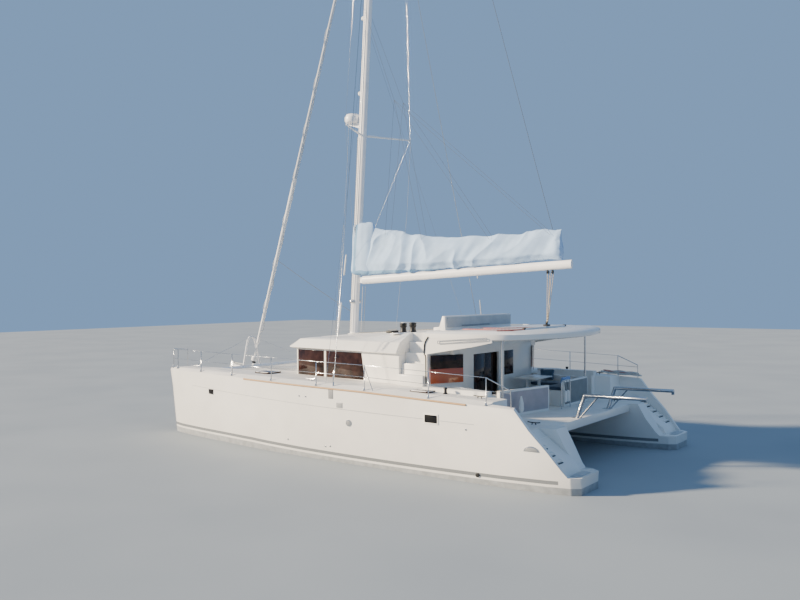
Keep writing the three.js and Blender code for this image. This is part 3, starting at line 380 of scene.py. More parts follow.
def mix_finishes(sizes, colours):
    """Makes every finish once."""
    FINISH.update({
        "hull": hull_gelcoat(sizes, colours),
        "gelcoat": gelcoat_smooth("gelcoat_smooth", colours.gelcoat),
        "deck": deck_gelcoat(colours.gelcoat),
        "antifoul": painted_metal("antifouling_paint", "#565C61", 0.8, 4),
        "alloy": painted_metal("aluminium_lacquered", "#FFFFFF", 0.35),
        "frame": painted_metal("aluminium_powder_coated", "#C4C7C9", 0.45),
        "steel": bare_metal("stainless_polished", "#D3D6D9", 0.2, 0.07),
        "galvanised": bare_metal("steel_galvanised", "#A7ACB0", 0.5, 0.12, 12),
        "bronze": bare_metal("bronze_cast", "#A98A55", 0.38, 0.1),
        "window": tinted_acrylic("acrylic_tinted", "#1C1210", "#3A2722"),
        "black_window": tinted_acrylic("acrylic_black", "#0B0B0C", "#151416"),
        "glass": clear_glass(),
        "canvas": woven("acrylic_canvas", shade(colours.canvas, 0.9),
                        shade(colours.canvas, 1.04), 9, 0.85, 0.1),
        # A deeper blue canvas that is painted shade, on the cover's lower edge and in its fold by the mast
        "canvas_painted_shade": woven("acrylic_canvas_painted_shade", linear("#6E9CC4"), linear("#86B0D4"), 9, 0.85),
        "sail": woven("sailcloth_uv_strip", linear("#E4E6E6"), linear("#F3F3F1"), 12, 0.7, 0.15),
        "net": netting("#E9E9E5"),
        "upholstery": woven("acrylic_upholstery", shade(colours.upholstery, 0.8),
                            shade(colours.upholstery, 1.15), 10, 0.9, 0.4),
        "cushion_dark": woven("upholstery_slate_blue", linear("#3E566A"), linear("#4E687E"), 10, 0.9, 0.4),
        "cushion_blue": woven("upholstery_sky_blue", linear("#6F97D2"), linear("#8BB0E4"), 10, 0.9, 0.4),
        "bench_vinyl": plastic("vinyl_lavender_grey", "#B3AAAC", 0.55),
        "slate_vinyl": plastic("vinyl_slate", "#848787", 0.55),
        "teak": grained_wood("teak_oiled", shade(colours.teak, 0.7), shade(colours.teak, 1.15)),
        # An orange, wood-grained painted reflection for the lower part of the wing windows
        "orange_reflection": grained_wood("painted_reflection_orange", linear("#8A2E0C"), linear("#D9662A"), 1.0, 0.3),
        "black": plastic("acetal_black", "#1C1D1F", 0.45),
        "grey": plastic("plastic_grey", "#8D9093", 0.5),
        "pale_grey": plastic("plastic_pale_grey", "#B9BDBF", 0.5),
        "vinyl": plastic("fender_vinyl_white", "#EFEEE9", 0.4),
        "rope": braid("rope_white_grey_fleck", "#E4E1D8", "#8F9396"),
        "dark_rope": braid("rope_grey_fleck", "#5F6468", "#33373B"),
        "red_rope": braid("rope_red_fleck", "#B8645A", "#8F2D28"),
        "tan_rope": braid("rope_tan", "#CDBFA5", "#9B8A6C"),
        "floor": studio_floor(),
    })


# Modelling helpers

def deselect():
    """Leaves edit mode and selects nothing."""
    if bpy.context.object and bpy.context.object.mode != "OBJECT":
        bpy.ops.object.mode_set(mode="OBJECT")
    bpy.ops.object.select_all(action="DESELECT")


def pick(*pieces):
    """Selects these pieces, the first one active."""
    deselect()
    for piece in pieces:
        piece.select_set(True)
    bpy.context.view_layer.objects.active = pieces[0]


def coat(piece, finish_name):
    """Gives a piece one finish."""
    piece.data.materials.clear()
    piece.data.materials.append(FINISH[finish_name])
    return piece


def finish(piece, name, finish_name=None, body="root", replaces=(), smooth=35):
    """Names a piece, applies its place, gives it its finish and lets it ride, unless body is None."""
    pick(piece)
    bpy.ops.object.transform_apply(location=True, rotation=True, scale=True)
    bpy.ops.object.shade_smooth_by_angle(angle=math.radians(smooth))
    piece.name = name
    if finish_name:
        coat(piece, finish_name)
    if body:
        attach(piece, body)
    if replaces:
        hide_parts(*replaces)
    return piece


def modify(piece, kind, **settings):
    """Adds a modifier with its settings and applies it."""
    pick(piece)
    bpy.ops.object.modifier_add(type=kind)
    modifier = piece.modifiers[-1]
    for key, value in settings.items():
        setattr(modifier, key, value)
    bpy.ops.object.modifier_apply(modifier=modifier.name)


def round_edges(piece, width, segments=2, angle=35):
    """Rounds the sharp edges of a piece."""
    modify(piece, "BEVEL", width=width, segments=segments, limit_method="ANGLE",
           angle_limit=math.radians(angle))
    return piece


def joined(pieces):
    """Joins pieces into the first one."""
    pick(*pieces)
    if len(pieces) > 1:
        bpy.ops.object.join()
    return bpy.context.object


def skin(node, finish_name, smooth=35, bevel=0.0, segments=2, suffix="skin"):
    """A smooth shell in the form of a frame node, which it stands for."""
    source = NODES[node]
    pick(source)
    bpy.ops.object.duplicate()
    piece = bpy.context.object
    body = source["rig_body"]
    del piece["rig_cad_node"]
    bpy.ops.object.mode_set(mode="EDIT")
    bpy.ops.mesh.select_all(action="SELECT")
    bpy.ops.mesh.remove_doubles(threshold=0.00003)
    bpy.ops.mesh.dissolve_limited(angle_limit=math.radians(0.4))
    bpy.ops.object.mode_set(mode="OBJECT")
    if bevel:
        round_edges(piece, bevel, segments)
    return finish(piece, f"{node}_{suffix}", finish_name, body, (node,), smooth)


def second_finish(piece, finish_name, wanted):
    """Gives the faces for which wanted(centre, normal) holds another finish."""
    piece.data.materials.append(FINISH[finish_name])
    last = len(piece.data.materials) - 1
    for face in piece.data.polygons:
        if wanted(face.center, face.normal):
            face.material_index = last


def eased(points, radius, steps=5):
    """A path whose corners are rounded."""
    points = [Vector(point) for point in points]
    path = [points[0]]
    for before, corner, after in zip(points, points[1:], points[2:]):
        back = min(radius, (before - corner).length / 2)
        ahead = min(radius, (after - corner).length / 2)
        start = corner + (before - corner).normalized() * back
        end = corner + (after - corner).normalized() * ahead
        for i in range(steps + 1):
            t = i / steps
            path.append(start * (1 - t) ** 2 + corner * (2 * t * (1 - t)) + end * t * t)
    return path + [points[-1]]


def hanging(start, end, sag, count=12):
    """A line between two points that sags in the middle."""
    start, end = Vector(start), Vector(end)
    steps = [i / count for i in range(count + 1)]
    return [start.lerp(end, t) - Vector((0, 0, 4 * sag * t * (1 - t))) for t in steps]


def tubes(name, paths, diameter, finish_name, body="root", sides=8, replaces=()):
    """Round bars, wires or lines along paths, as one piece."""
    deselect()
    bpy.ops.curve.primitive_bezier_curve_add()
    curve = bpy.context.object.data
    curve.splines.clear()
    for path in paths:
        spline = curve.splines.new("POLY")
        spline.points.add(len(path) - 1)
        for point, where in zip(spline.points, path):
            point.co = (*where, 1.0)
    curve.bevel_depth = diameter / 2
    curve.bevel_resolution = (sides - 4) // 2
    curve.use_fill_caps = True
    bpy.ops.object.convert(target="MESH")
    return finish(bpy.context.object, name, finish_name, body, replaces, 60)


def lofted(rings):
    """A closed form through rings of points: a flat ring is extruded from one to the next."""
    rings = [[Vector(point) for point in ring] for ring in rings]
    deselect()
    bpy.ops.mesh.primitive_circle_add(vertices=len(rings[0]), fill_type="NGON")
    piece = bpy.context.object
    for vertex, where in zip(piece.data.vertices, rings[0]):
        vertex.co = where
    bpy.ops.object.mode_set(mode="EDIT")
    bpy.ops.mesh.select_all(action="SELECT")
    for before, after in zip(rings, rings[1:]):
        bpy.ops.mesh.extrude_region_move()
        mesh = bmesh.from_edit_mesh(piece.data)
        for vertex in [v for v in mesh.verts if v.select]:
            nearest = min(range(len(before)), key=lambda i: (before[i] - vertex.co).length_squared)
            vertex.co = after[nearest]
        bmesh.update_edit_mesh(piece.data)
    bpy.ops.mesh.select_all(action="SELECT")
    bpy.ops.mesh.normals_make_consistent(inside=False)
    bpy.ops.object.mode_set(mode="OBJECT")
    return piece


def turned(profile, sides=24):
    """A round form about Z from its (radius, height) profile."""
    angles = [2 * math.pi * i / sides for i in range(sides)]
    return lofted([[(r * math.cos(a), r * math.sin(a), z) for a in angles] for r, z in profile])


def plate(outline, low, high, edge=0.0, segments=2):
    """A plate of an (x, y) outline between two heights, its edges rounded."""
    piece = lofted([[(x, y, low) for x, y in outline], [(x, y, high) for x, y in outline]])
    return round_edges(piece, edge, segments) if edge else piece


def panel(corners, thick, edge=0.0):
    """A flat sheet on given corners, which grows to the side that they turn to."""
    corners = [Vector(corner) for corner in corners]
    normal = (corners[1] - corners[0]).cross(corners[2] - corners[1]).normalized()
    piece = lofted([corners, [corner + normal * thick for corner in corners]])
    return round_edges(piece, edge, 2) if edge else piece


def rounded(width, height, corner, steps=4):
    """The outline of a rounded rectangle about the origin."""
    outline = []
    for turn, (sx, sy) in enumerate(((1, 1), (-1, 1), (-1, -1), (1, -1))):
        centre = (sx * (width / 2 - corner), sy * (height / 2 - corner))
        for i in range(steps + 1):
            angle = math.pi / 2 * (turn + i / steps)
            outline.append((centre[0] + corner * math.cos(angle), centre[1] + corner * math.sin(angle)))
    return outline


def block(size, centre, edge=0.01, turn=(0, 0, 0), segments=3):
    """A rounded block, turned in degrees."""
    deselect()
    bpy.ops.mesh.primitive_cube_add(size=1)
    piece = bpy.context.object
    piece.scale = size
    bpy.ops.object.transform_apply(location=False, rotation=False, scale=True)
    round_edges(piece, edge, segments)
    piece.rotation_euler = [math.radians(angle) for angle in turn]
    piece.location = centre
    return piece


def at(x, y, z, heading=0.0, tilt=0.0):
    """A place in the boat, turned about Z and then about its own Y, in degrees."""
    turn = Matrix.Rotation(math.radians(heading), 4, "Z") @ Matrix.Rotation(math.radians(tilt), 4, "Y")
    return Matrix.Translation((x, y, z)) @ turn


def facing(point, normal):
    """A place on a surface: Z outwards, Y as far upwards as it goes."""
    out = Vector(normal).normalized()
    lead = Vector((0, 0, 1)) if abs(out.z) < 0.9 else Vector((0, 1, 0))
    up = (lead - out * lead.dot(out)).normalized()
    return Matrix.Translation(point) @ Matrix((up.cross(out), up, out)).transposed().to_4x4()


def copies(piece, places):
    """Copies of a piece, each with its own mesh, joined."""
    made = []
    for where in places:
        pick(piece)
        bpy.ops.object.duplicate()
        made.append(bpy.context.object)
        made[-1].matrix_world = where @ piece.matrix_world
    bpy.context.view_layer.update()
    bpy.data.objects.remove(piece)
    return joined(made)


def moved(piece, where):
    """Puts a piece at a place."""
    bpy.context.view_layer.update()
    piece.matrix_world = where @ piece.matrix_world
    bpy.context.view_layer.update()
    return piece


def side_of(node, x, z, side):
    """The point and the normal on the outer side of a node."""
    point, normal, _, _ = SURFACES[node].ray_cast((x, side * 6, z), (0, -side, 0))
    if point is None:
        raise RuntimeError(f"no side of {node} at x {x}, z {z}")
    return point, normal


def top_of(node, x, y, start=6.0):
    """The height of the upper side of a node."""
    point, _, _, _ = SURFACES[node].ray_cast((x, y, start), (0, 0, -1))
    if point is None:
        raise RuntimeError(f"no top of {node} at x {x}, y {y}")
    return point.z


def body_of(node):
    return NODES[node]["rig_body"]


def plump(piece, voxel, cap, pressure=4.0, frames=20):
    """Blows a padded form up like stuffed cloth, no point further than cap from where it was."""
    modify(piece, "REMESH", mode="VOXEL", voxel_size=voxel)
    start = [vertex.co.copy() for vertex in piece.data.vertices]
    pick(piece)
    bpy.ops.object.modifier_add(type="CLOTH")
    cloth = piece.modifiers[-1]
    cloth.settings.use_pressure = True
    cloth.settings.uniform_pressure_force = pressure
    cloth.settings.effector_weights.gravity = 0.0
    for step in range(1, frames + 1):
        bpy.context.scene.frame_set(step)
    bpy.ops.object.modifier_apply(modifier=cloth.name)
    bpy.context.scene.frame_set(1)
    for vertex, before in zip(piece.data.vertices, start):
        move = vertex.co - before
        if move.length > cap:
            vertex.co = before + move.normalized() * cap
    modify(piece, "SUBSURF", levels=1, render_levels=1)
    return piece


# Stage

CAMERA = {"place": (-14.02, 19.20, 4.22), "yaw": -53.30, "pitch": -0.42, "roll": -0.33}
FOCAL_PX = 811.2
FRAME_PX = 800
SENSOR_MM = 36.0
FLOOR_SIZE = 160
SKY = {"colour": "#93B9E8", "strength": 0.75}
SUN = {"colour": "#FFEACB", "strength": 11.0, "tilt": 70, "heading": 128.5, "spread": 4}


class CATAMARAN_OT_stage(bpy.types.Operator):
    """Adds the floor at the waterline, the lights and the camera"""

    bl_idname = "catamaran.stage"
    bl_label = "Stage"

    def execute(self, context):
        deselect()
        bpy.ops.mesh.primitive_plane_add(size=FLOOR_SIZE, location=(0, 0, 0))
        floor = context.object
        floor.name = "studio_floor"
        coat(floor, "floor")
        world = bpy.data.worlds.new("studio")
        context.scene.world = world
        world.use_nodes = True
        back = next(n for n in world.node_tree.nodes if n.type == "BACKGROUND")
        back.inputs["Color"].default_value = linear(SKY["colour"])
        back.inputs["Strength"].default_value = SKY["strength"]
        self.sun()
        yaw, pitch, roll = (math.radians(CAMERA[key]) for key in ("yaw", "pitch", "roll"))
        turn = (Matrix.Rotation(yaw - math.pi / 2, 3, "Z") @ Matrix.Rotation(math.pi / 2 + pitch, 3, "X")
                @ Matrix.Rotation(roll, 3, "Z"))
        bpy.ops.object.camera_add(location=CAMERA["place"], rotation=turn.to_euler())
        camera = context.object
        camera.data.sensor_width = SENSOR_MM
        camera.data.lens = FOCAL_PX * SENSOR_MM / FRAME_PX
        camera.data.clip_end = 400
        context.scene.camera = camera
        return {"FINISHED"}

    def sun(self):
        turn = (math.radians(SUN["tilt"]), 0, math.radians(SUN["heading"]))
        bpy.ops.object.light_add(type="SUN", location=(0, 0, 20), rotation=turn)
        light = bpy.context.object.data
        light.energy = SUN["strength"]
        light.color = linear(SUN["colour"])[:3]
        light.angle = math.radians(SUN["spread"])


# Hulls and decks

# Points (x, z) on the hulls' sides, and (x, z) of the stern scoop's step noses and treads
GROOVE = ((5.55, 1.525), (4.0, 1.46), (2.0, 1.41), (0.0, 1.365), (-2.0, 1.34), (-4.6, 1.32))
RUB_RAIL = ((2.96, 1.885), (2.0, 1.875), (0.7, 1.86), (-1.5, 1.83), (-3.5, 1.768), (-4.4, 1.742))
THROUGH_HULLS = ((0.70, 1.59), (0.47, 1.59), (-4.39, 1.19), (-0.16, 0.36), (-0.32, 0.38), (1.18, 0.40))
STEPS = {"inner": 2.775, "outer": 3.70, "noses": ((-5.62, 1.203), (-6.55, 0.54), (-6.64, 0.374))}
TREADS = ((-5.74, 1.115), (-5.92, 0.987), (-6.10, 0.858), (-6.28, 0.73), (-6.46, 0.602))
TREAD_Y = 3.42
STERN_CORNERS_AFT_OF = -6.60
STERN_CORNER = 0.22


def is_deck(centre, normal):
    return normal.z > 0.9 and centre.z > 1.0


def on_hull(side_name, side, x, z, outline, thick, finish_name, edge=0.003):
    """A plate on the hull's side, its outline in (forward, up) about its middle."""
    point, normal = side_of(f"hull_{side_name}", x, z, side)
    mirrored = [(-side * u, v) for u, v in outline]
    piece = plate(mirrored, -0.012, thick, edge)
    return coat(moved(piece, facing(point, normal)), finish_name)


class CATAMARAN_OT_hulls(bpy.types.Operator):
    """Adds the hulls' smooth shells with stripes and non-skid decks, and what is below the waterline"""

    bl_idname = "catamaran.hulls"
    bl_label = "Hulls"

    def execute(self, context):
        for side, sign in SIDES:
            hull = skin(f"hull_{side}", "hull", 28)
            self.soften(hull)
            second_finish(hull, "deck", is_deck)
            skin(f"keel_{side}", "antifoul", 40, 0.01)
            skin(f"rudder_{side}", "antifoul", 40, 0.004)
            skin(f"drive_leg_{side}", "alloy", 40, 0.004)
            skin(f"propeller_{side}", "bronze", 40, 0.002)
            self.ramp(side, sign)
        bridge = skin("bridgedeck", "gelcoat", 30, 0.015)
        second_finish(bridge, "deck", is_deck)
        return {"FINISHED"}

    def soften(self, hull):
        """Rounds the upright corners of the stern widely and all other edges a little."""
        pick(hull)
        bpy.ops.object.mode_set(mode="EDIT")
        bpy.ops.mesh.select_all(action="DESELECT")
        mesh = bmesh.from_edit_mesh(hull.data)
        for edge in mesh.edges:
            low, high = sorted((vertex.co for vertex in edge.verts), key=lambda point: point.z)
            upright = (high - low).length > 0.02 and (high - low).normalized().z > 0.9
            sharp = len(edge.link_faces) == 2 and edge.calc_face_angle(0) > math.radians(20)
            edge.select_set(upright and sharp and max(low.x, high.x) < STERN_CORNERS_AFT_OF)
        bmesh.update_edit_mesh(hull.data)
        bpy.ops.mesh.bevel(offset=STERN_CORNER, segments=8, affect="EDGES", clamp_overlap=True)
        bpy.ops.object.mode_set(mode="OBJECT")
        round_edges(hull, 0.012, 2)
        bpy.ops.object.shade_smooth_by_angle(angle=math.radians(34))

    def ramp(self, side, sign):
        """The scoop's ramp over the steps, with moulded treads and their dark strips."""
        inner, outer, noses = STEPS["inner"], STEPS["outer"], STEPS["noses"]
        low = [(noses[-1][0], 0.30), (noses[0][0], 0.30)]
        narrow = {0: outer, 1: outer - 0.05, 2: outer - 0.09}
        line = [*noses, *low]
        outer_y = [narrow.get(i, outer - 0.09) for i in range(len(noses))] + [outer - 0.09, outer]
        rings = [[(x, sign * inner, z) for x, z in line],
                 [(x, sign * y, z) for (x, z), y in zip(line, outer_y)]]
        ramp = round_edges(lofted(rings), 0.012, 3)
        finish(ramp, f"stern_ramp_{side}", "gelcoat", smooth=30)
        slope = math.degrees(math.atan2(noses[0][1] - noses[1][1], noses[0][0] - noses[1][0]))
        strip = coat(plate(rounded(0.03, 0.30, 0.01), 0.0, 0.012, 0.003), "black")
        places = [at(x, sign * TREAD_Y, z, 0, -slope) for x, z in TREADS]
        strips = copies(strip, places)
        lip = coat(plate(rounded(0.11, 0.36, 0.03), -0.02, 0.016, 0.006), "gelcoat")
        lips = copies(lip, [at(x + 0.07, sign * TREAD_Y, z + 0.05, 0, -slope * 0.45) for x, z in TREADS])
        pad = coat(plate(rounded(0.20, 0.62, 0.03), 0.0, 0.01, 0.003), "pale_grey")
        moved(pad, at(-6.80, sign * 3.15, 0.372))
        finish(joined([strips, lips, pad]), f"stern_treads_{side}")


class CATAMARAN_OT_hull_fittings(bpy.types.Operator):
    """Adds the hull windows, vents, groove, rub rail and through-hulls; the groove is a raised pale grey
    line, its grey painted shade
    """

    bl_idname = "catamaran.hull_fittings"
    bl_label = "Hull fittings"

    def execute(self, context):
        for side, sign in SIDES:
            self.windows(side, sign)
            self.vents(side, sign)
            # The groove is drawn as a pale grey tube on the side: its grey is painted shade
            groove = [self.out(side, sign, x, z, 0.001) for x, z in self.finer(GROOVE)]
            tubes(f"hull_groove_painted_shade_{side}", [groove], 0.014, "pale_grey")
            rail = [self.out(side, sign, x, z, 0.006) for x, z in self.finer(RUB_RAIL)]
            tubes(f"rub_rail_{side}", [rail], 0.045, "teak", sides=12)
        return {"FINISHED"}

    def out(self, side, sign, x, z, proud):
        point, normal = side_of(f"hull_{side}", x, z, sign)
        return point + normal * proud

    def finer(self, line, parts=8):
        return [(a[0] + (b[0] - a[0]) * i / parts, a[1] + (b[1] - a[1]) * i / parts)
                for a, b in zip(line, line[1:]) for i in range(parts)] + [line[-1]]

    def windows(self, side, sign):
        slanted = [(0.12, 0.05), (0.10, 0.075), (-0.11, 0.075), (-0.12, 0.06), (-0.105, -0.07),
                   (0.105, -0.06)]
        rim = [(u * 1.14, v * 1.22) for u, v in slanted]
        pieces = [
            on_hull(side, sign, 4.56, 1.40, rim, 0.006, "pale_grey"),
            on_hull(side, sign, 4.56, 1.40, slanted, 0.010, "black_window"),
            on_hull(side, sign, -3.46, 1.35, rounded(0.42, 0.25, 0.03), 0.010, "gelcoat"),
            on_hull(side, sign, -3.46, 1.35, rounded(0.35, 0.18, 0.02), 0.014, "black_window"),
        ]
        finish(joined(pieces), f"hull_windows_{side}")

    def vents(self, side, sign):
        angles = [math.pi * i / 12 for i in range(13)]
        half = [(0.18 * math.cos(a), 0.12 * math.sin(a) - 0.05) for a in angles]
        inner = [(u * 0.82, v * 0.72 - 0.004) for u, v in half]
        pieces = [
            on_hull(side, sign, -0.68, 1.45, rounded(0.20, 0.14, 0.015), 0.006, "pale_grey"),
            on_hull(side, sign, -0.97, 1.03, rounded(0.17, 0.17, 0.08, 6), 0.012, "steel"),
            on_hull(side, sign, -0.97, 1.03, rounded(0.12, 0.12, 0.058, 6), 0.015, "grey"),
            on_hull(side, sign, -5.98, 0.91, half, 0.012, "steel"),
            on_hull(side, sign, -5.98, 0.91, inner, 0.016, "grey"),
            on_hull(side, sign, -0.40, 1.725, rounded(0.155, 0.27, 0.012), 0.008, "grey"),
            on_hull(side, sign, -4.66, 0.20, rounded(0.09, 0.09, 0.04, 6), 0.03, "black"),
        ]
        for row in range(4):
            z = 1.45 + 0.027 * (row - 1.5)
            pieces.append(on_hull(side, sign, -0.68, z, rounded(0.165, 0.013, 0.005), 0.014, "grey", 0.002))
        for x, z in THROUGH_HULLS:
            pieces.append(on_hull(side, sign, x, z, rounded(0.045, 0.045, 0.022, 5), 0.012, "steel"))
        finish(joined(pieces), f"hull_vents_{side}")


# Bow

ARCH_TOP = (6.6, 0.0, 2.80)
DRUM = {"radius": 0.075, "height": 0.17, "lean": -18.3}


class CATAMARAN_OT_bow(bpy.types.Operator):
    """Adds the crossbeam, the striker arch, the spine, the nets, the anchor and the windlass"""

    bl_idname = "catamaran.bow"
    bl_label = "Bow gear"

    def execute(self, context):
        skin("crossbeam", "alloy", 40)
        skin("striker_arch", "alloy", 60)
        skin("bow_spine", "alloy", 35, 0.006)
        skin("anchor", "galvanised", 35, 0.004)
        stays = []
        for side, sign in SIDES:
            skin(f"net_{side}", "net", 35)
            skin(f"rail_{side}", "steel", 60)
            stays.append([ARCH_TOP, (6.6, sign * 2.75, 1.87)])
            self.lashing(side, sign)
        tubes("arch_stays", stays, 0.014, "steel")
        self.windlass()
        self.drum()
        return {"FINISHED"}

    def lashing(self, side, sign):
        """The line that zigzags between the net and its edges."""
        low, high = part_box(f"net_{side}")
        count = 44
        path = []
        for i in range(count * 2 + 1):
            x = low[0] + 0.05 + (high[0] - low[0] - 0.10) * i / (count * 2)
            edge = 0.05 if i % 2 else 0.115
            path.append((x, sign * edge, 1.772))
        tubes(f"net_lashing_{side}", [path], 0.006, "rope", sides=6)

    def windlass(self):
        foot = top_of("bridgedeck", 2.80, 0.0)
        base = coat(block((0.34, 0.22, 0.10), (2.80, 0.0, foot + 0.05), 0.025), "alloy")
        drum = coat(turned([(0.055, 0.0), (0.05, 0.02), (0.032, 0.05), (0.032, 0.07), (0.055, 0.10),
                            (0.05, 0.115), (0.01, 0.118)]), "steel")
        moved(drum, at(2.86, 0.0, foot + 0.10))
        gypsy = coat(turned([(0.075, 0.0), (0.075, 0.02), (0.05, 0.03), (0.075, 0.04), (0.075, 0.06)]),
                     "bronze")
        moved(gypsy, at(2.72, 0.0, foot + 0.10))
        finish(joined([base, drum, gypsy]), "windlass")

    def drum(self):
        """The furler's drum at the headsail's tack."""
        body = body_of("headsail_furled")
        low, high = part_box("headsail_furled")
        foot = Vector((high[0] - 0.075, 0.0, low[2] + 0.03))
        radius, height = DRUM["radius"], DRUM["height"]
        drum = coat(turned([(radius * 0.8, 0.0), (radius, 0.01), (radius, 0.025), (radius * 0.55, 0.04),
                            (radius * 0.55, height - 0.04), (radius, height - 0.025), (radius, height - 0.01),
                            (radius * 0.7, height)]), "black")
        moved(drum, at(foot.x, 0.0, foot.z, 0, DRUM["lean"]))
        finish(drum, "furler_drum", body=body)


# Deck

# Cleats: x, y, turn in degrees and finish
CLEATS = (
    (5.9, 3.0, 8, "steel"),
    (0.6, 3.55, 2, "steel"),
    (-4.45, 3.35, 0, "black"),
    (-5.35, 2.45, 0, "black"),
)
BOLLARD = (-3.486, 3.3)
POSTS_X = (6.70, 6.35, 5.10, 3.60, 1.85, 0.15, -1.45, -3.35, -4.88)


class CATAMARAN_OT_deck(bpy.types.Operator):
    """Adds the cleats, the bollards, the feet of the rail posts and the rims of the deck hatches"""

    bl_idname = "catamaran.deck"
    bl_label = "Deck gear"

    def execute(self, context):
        size = context.scene.catamaran_sizes.cleat
        for side, sign in SIDES:
            self.cleats(side, sign, size)
            self.feet(side)
            for end in ("fore", "aft"):
                self.hatch(f"hatch_{end}_{side}")
        return {"FINISHED"}

    def cleats(self, side, sign, size):
        made = []
        for x, y, turn, metal in CLEATS:
            z = top_of(f"hull_{side}", x, sign * y)
            horn = [(-size / 2, 0, 0.062), (-size * 0.3, 0, 0.052), (0, 0, 0.048), (size * 0.3, 0, 0.052),
                    (size / 2, 0, 0.062)]
            legs = [[(s * size * 0.16, 0, 0.0), (s * size * 0.13, 0, 0.05)] for s in (-1, 1)]
            cleat = tubes("cleat", [horn, *legs], 0.024, metal, sides=10)
            made.append(moved(cleat, at(x, sign * y, z, sign * turn)))
        x, y = BOLLARD
        z = top_of(f"hull_{side}", x, sign * y)
        bollard = coat(turned([(0.06, 0.0), (0.055, 0.012), (0.036, 0.03), (0.033, 0.10), (0.05, 0.125),
                               (0.045, 0.14), (0.015, 0.145)]), "black")
        made.append(moved(bollard, at(x, sign * y, z)))
        finish(joined(made), f"cleats_{side}")

    def feet(self, side):
        """Round feet under the posts, where the rail's lowest points are."""
        points = [vertex.co for vertex in NODES[f"rail_{side}"].data.vertices]
        places = []
        for x in POSTS_X:
            near = [point for point in points if abs(point.x - x) < 0.03]
            if near:
                foot = min(near, key=lambda point: point.z)
                places.append(at(x, foot.y, foot.z - 0.002))
        profile = [(0.042, 0.0), (0.042, 0.006), (0.024, 0.014), (0.021, 0.07), (0.018, 0.075)]
        socket = coat(turned(profile, 16), "steel")
        finish(copies(socket, places), f"post_feet_{side}")

    def hatch(self, node):
        skin(node, "window", 35, 0.006)
        low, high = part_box(node)
        middle_x, middle_y = (low[0] + high[0]) / 2, (low[1] + high[1]) / 2
        outline = rounded(high[0] - low[0] - 0.02, high[1] - low[1] - 0.02, 0.04)
        path = [(middle_x + u, middle_y + v, high[2] - 0.008) for u, v in [*outline, outline[0]]]
        tubes(f"{node}_rim", [path], 0.022, "alloy", body_of(node))


# Deckhouse

# Corners (x, z) of the two side panes, and (x, y) of the bulkhead's slanted wing
PANES = (((2.045, 2.675), (2.045, 1.965), (0.995, 1.965), (0.995, 2.675)),
         ((0.905, 2.675), (0.905, 1.965), (-0.555, 1.965), (-0.435, 2.675)))
BULK_LINE = ((-2.60, 2.78), (-3.06, 1.80))
BULK_OUT = (-0.905, 0.425)
BULK_THICK = 0.066
DOOR_FRAME = 0.055


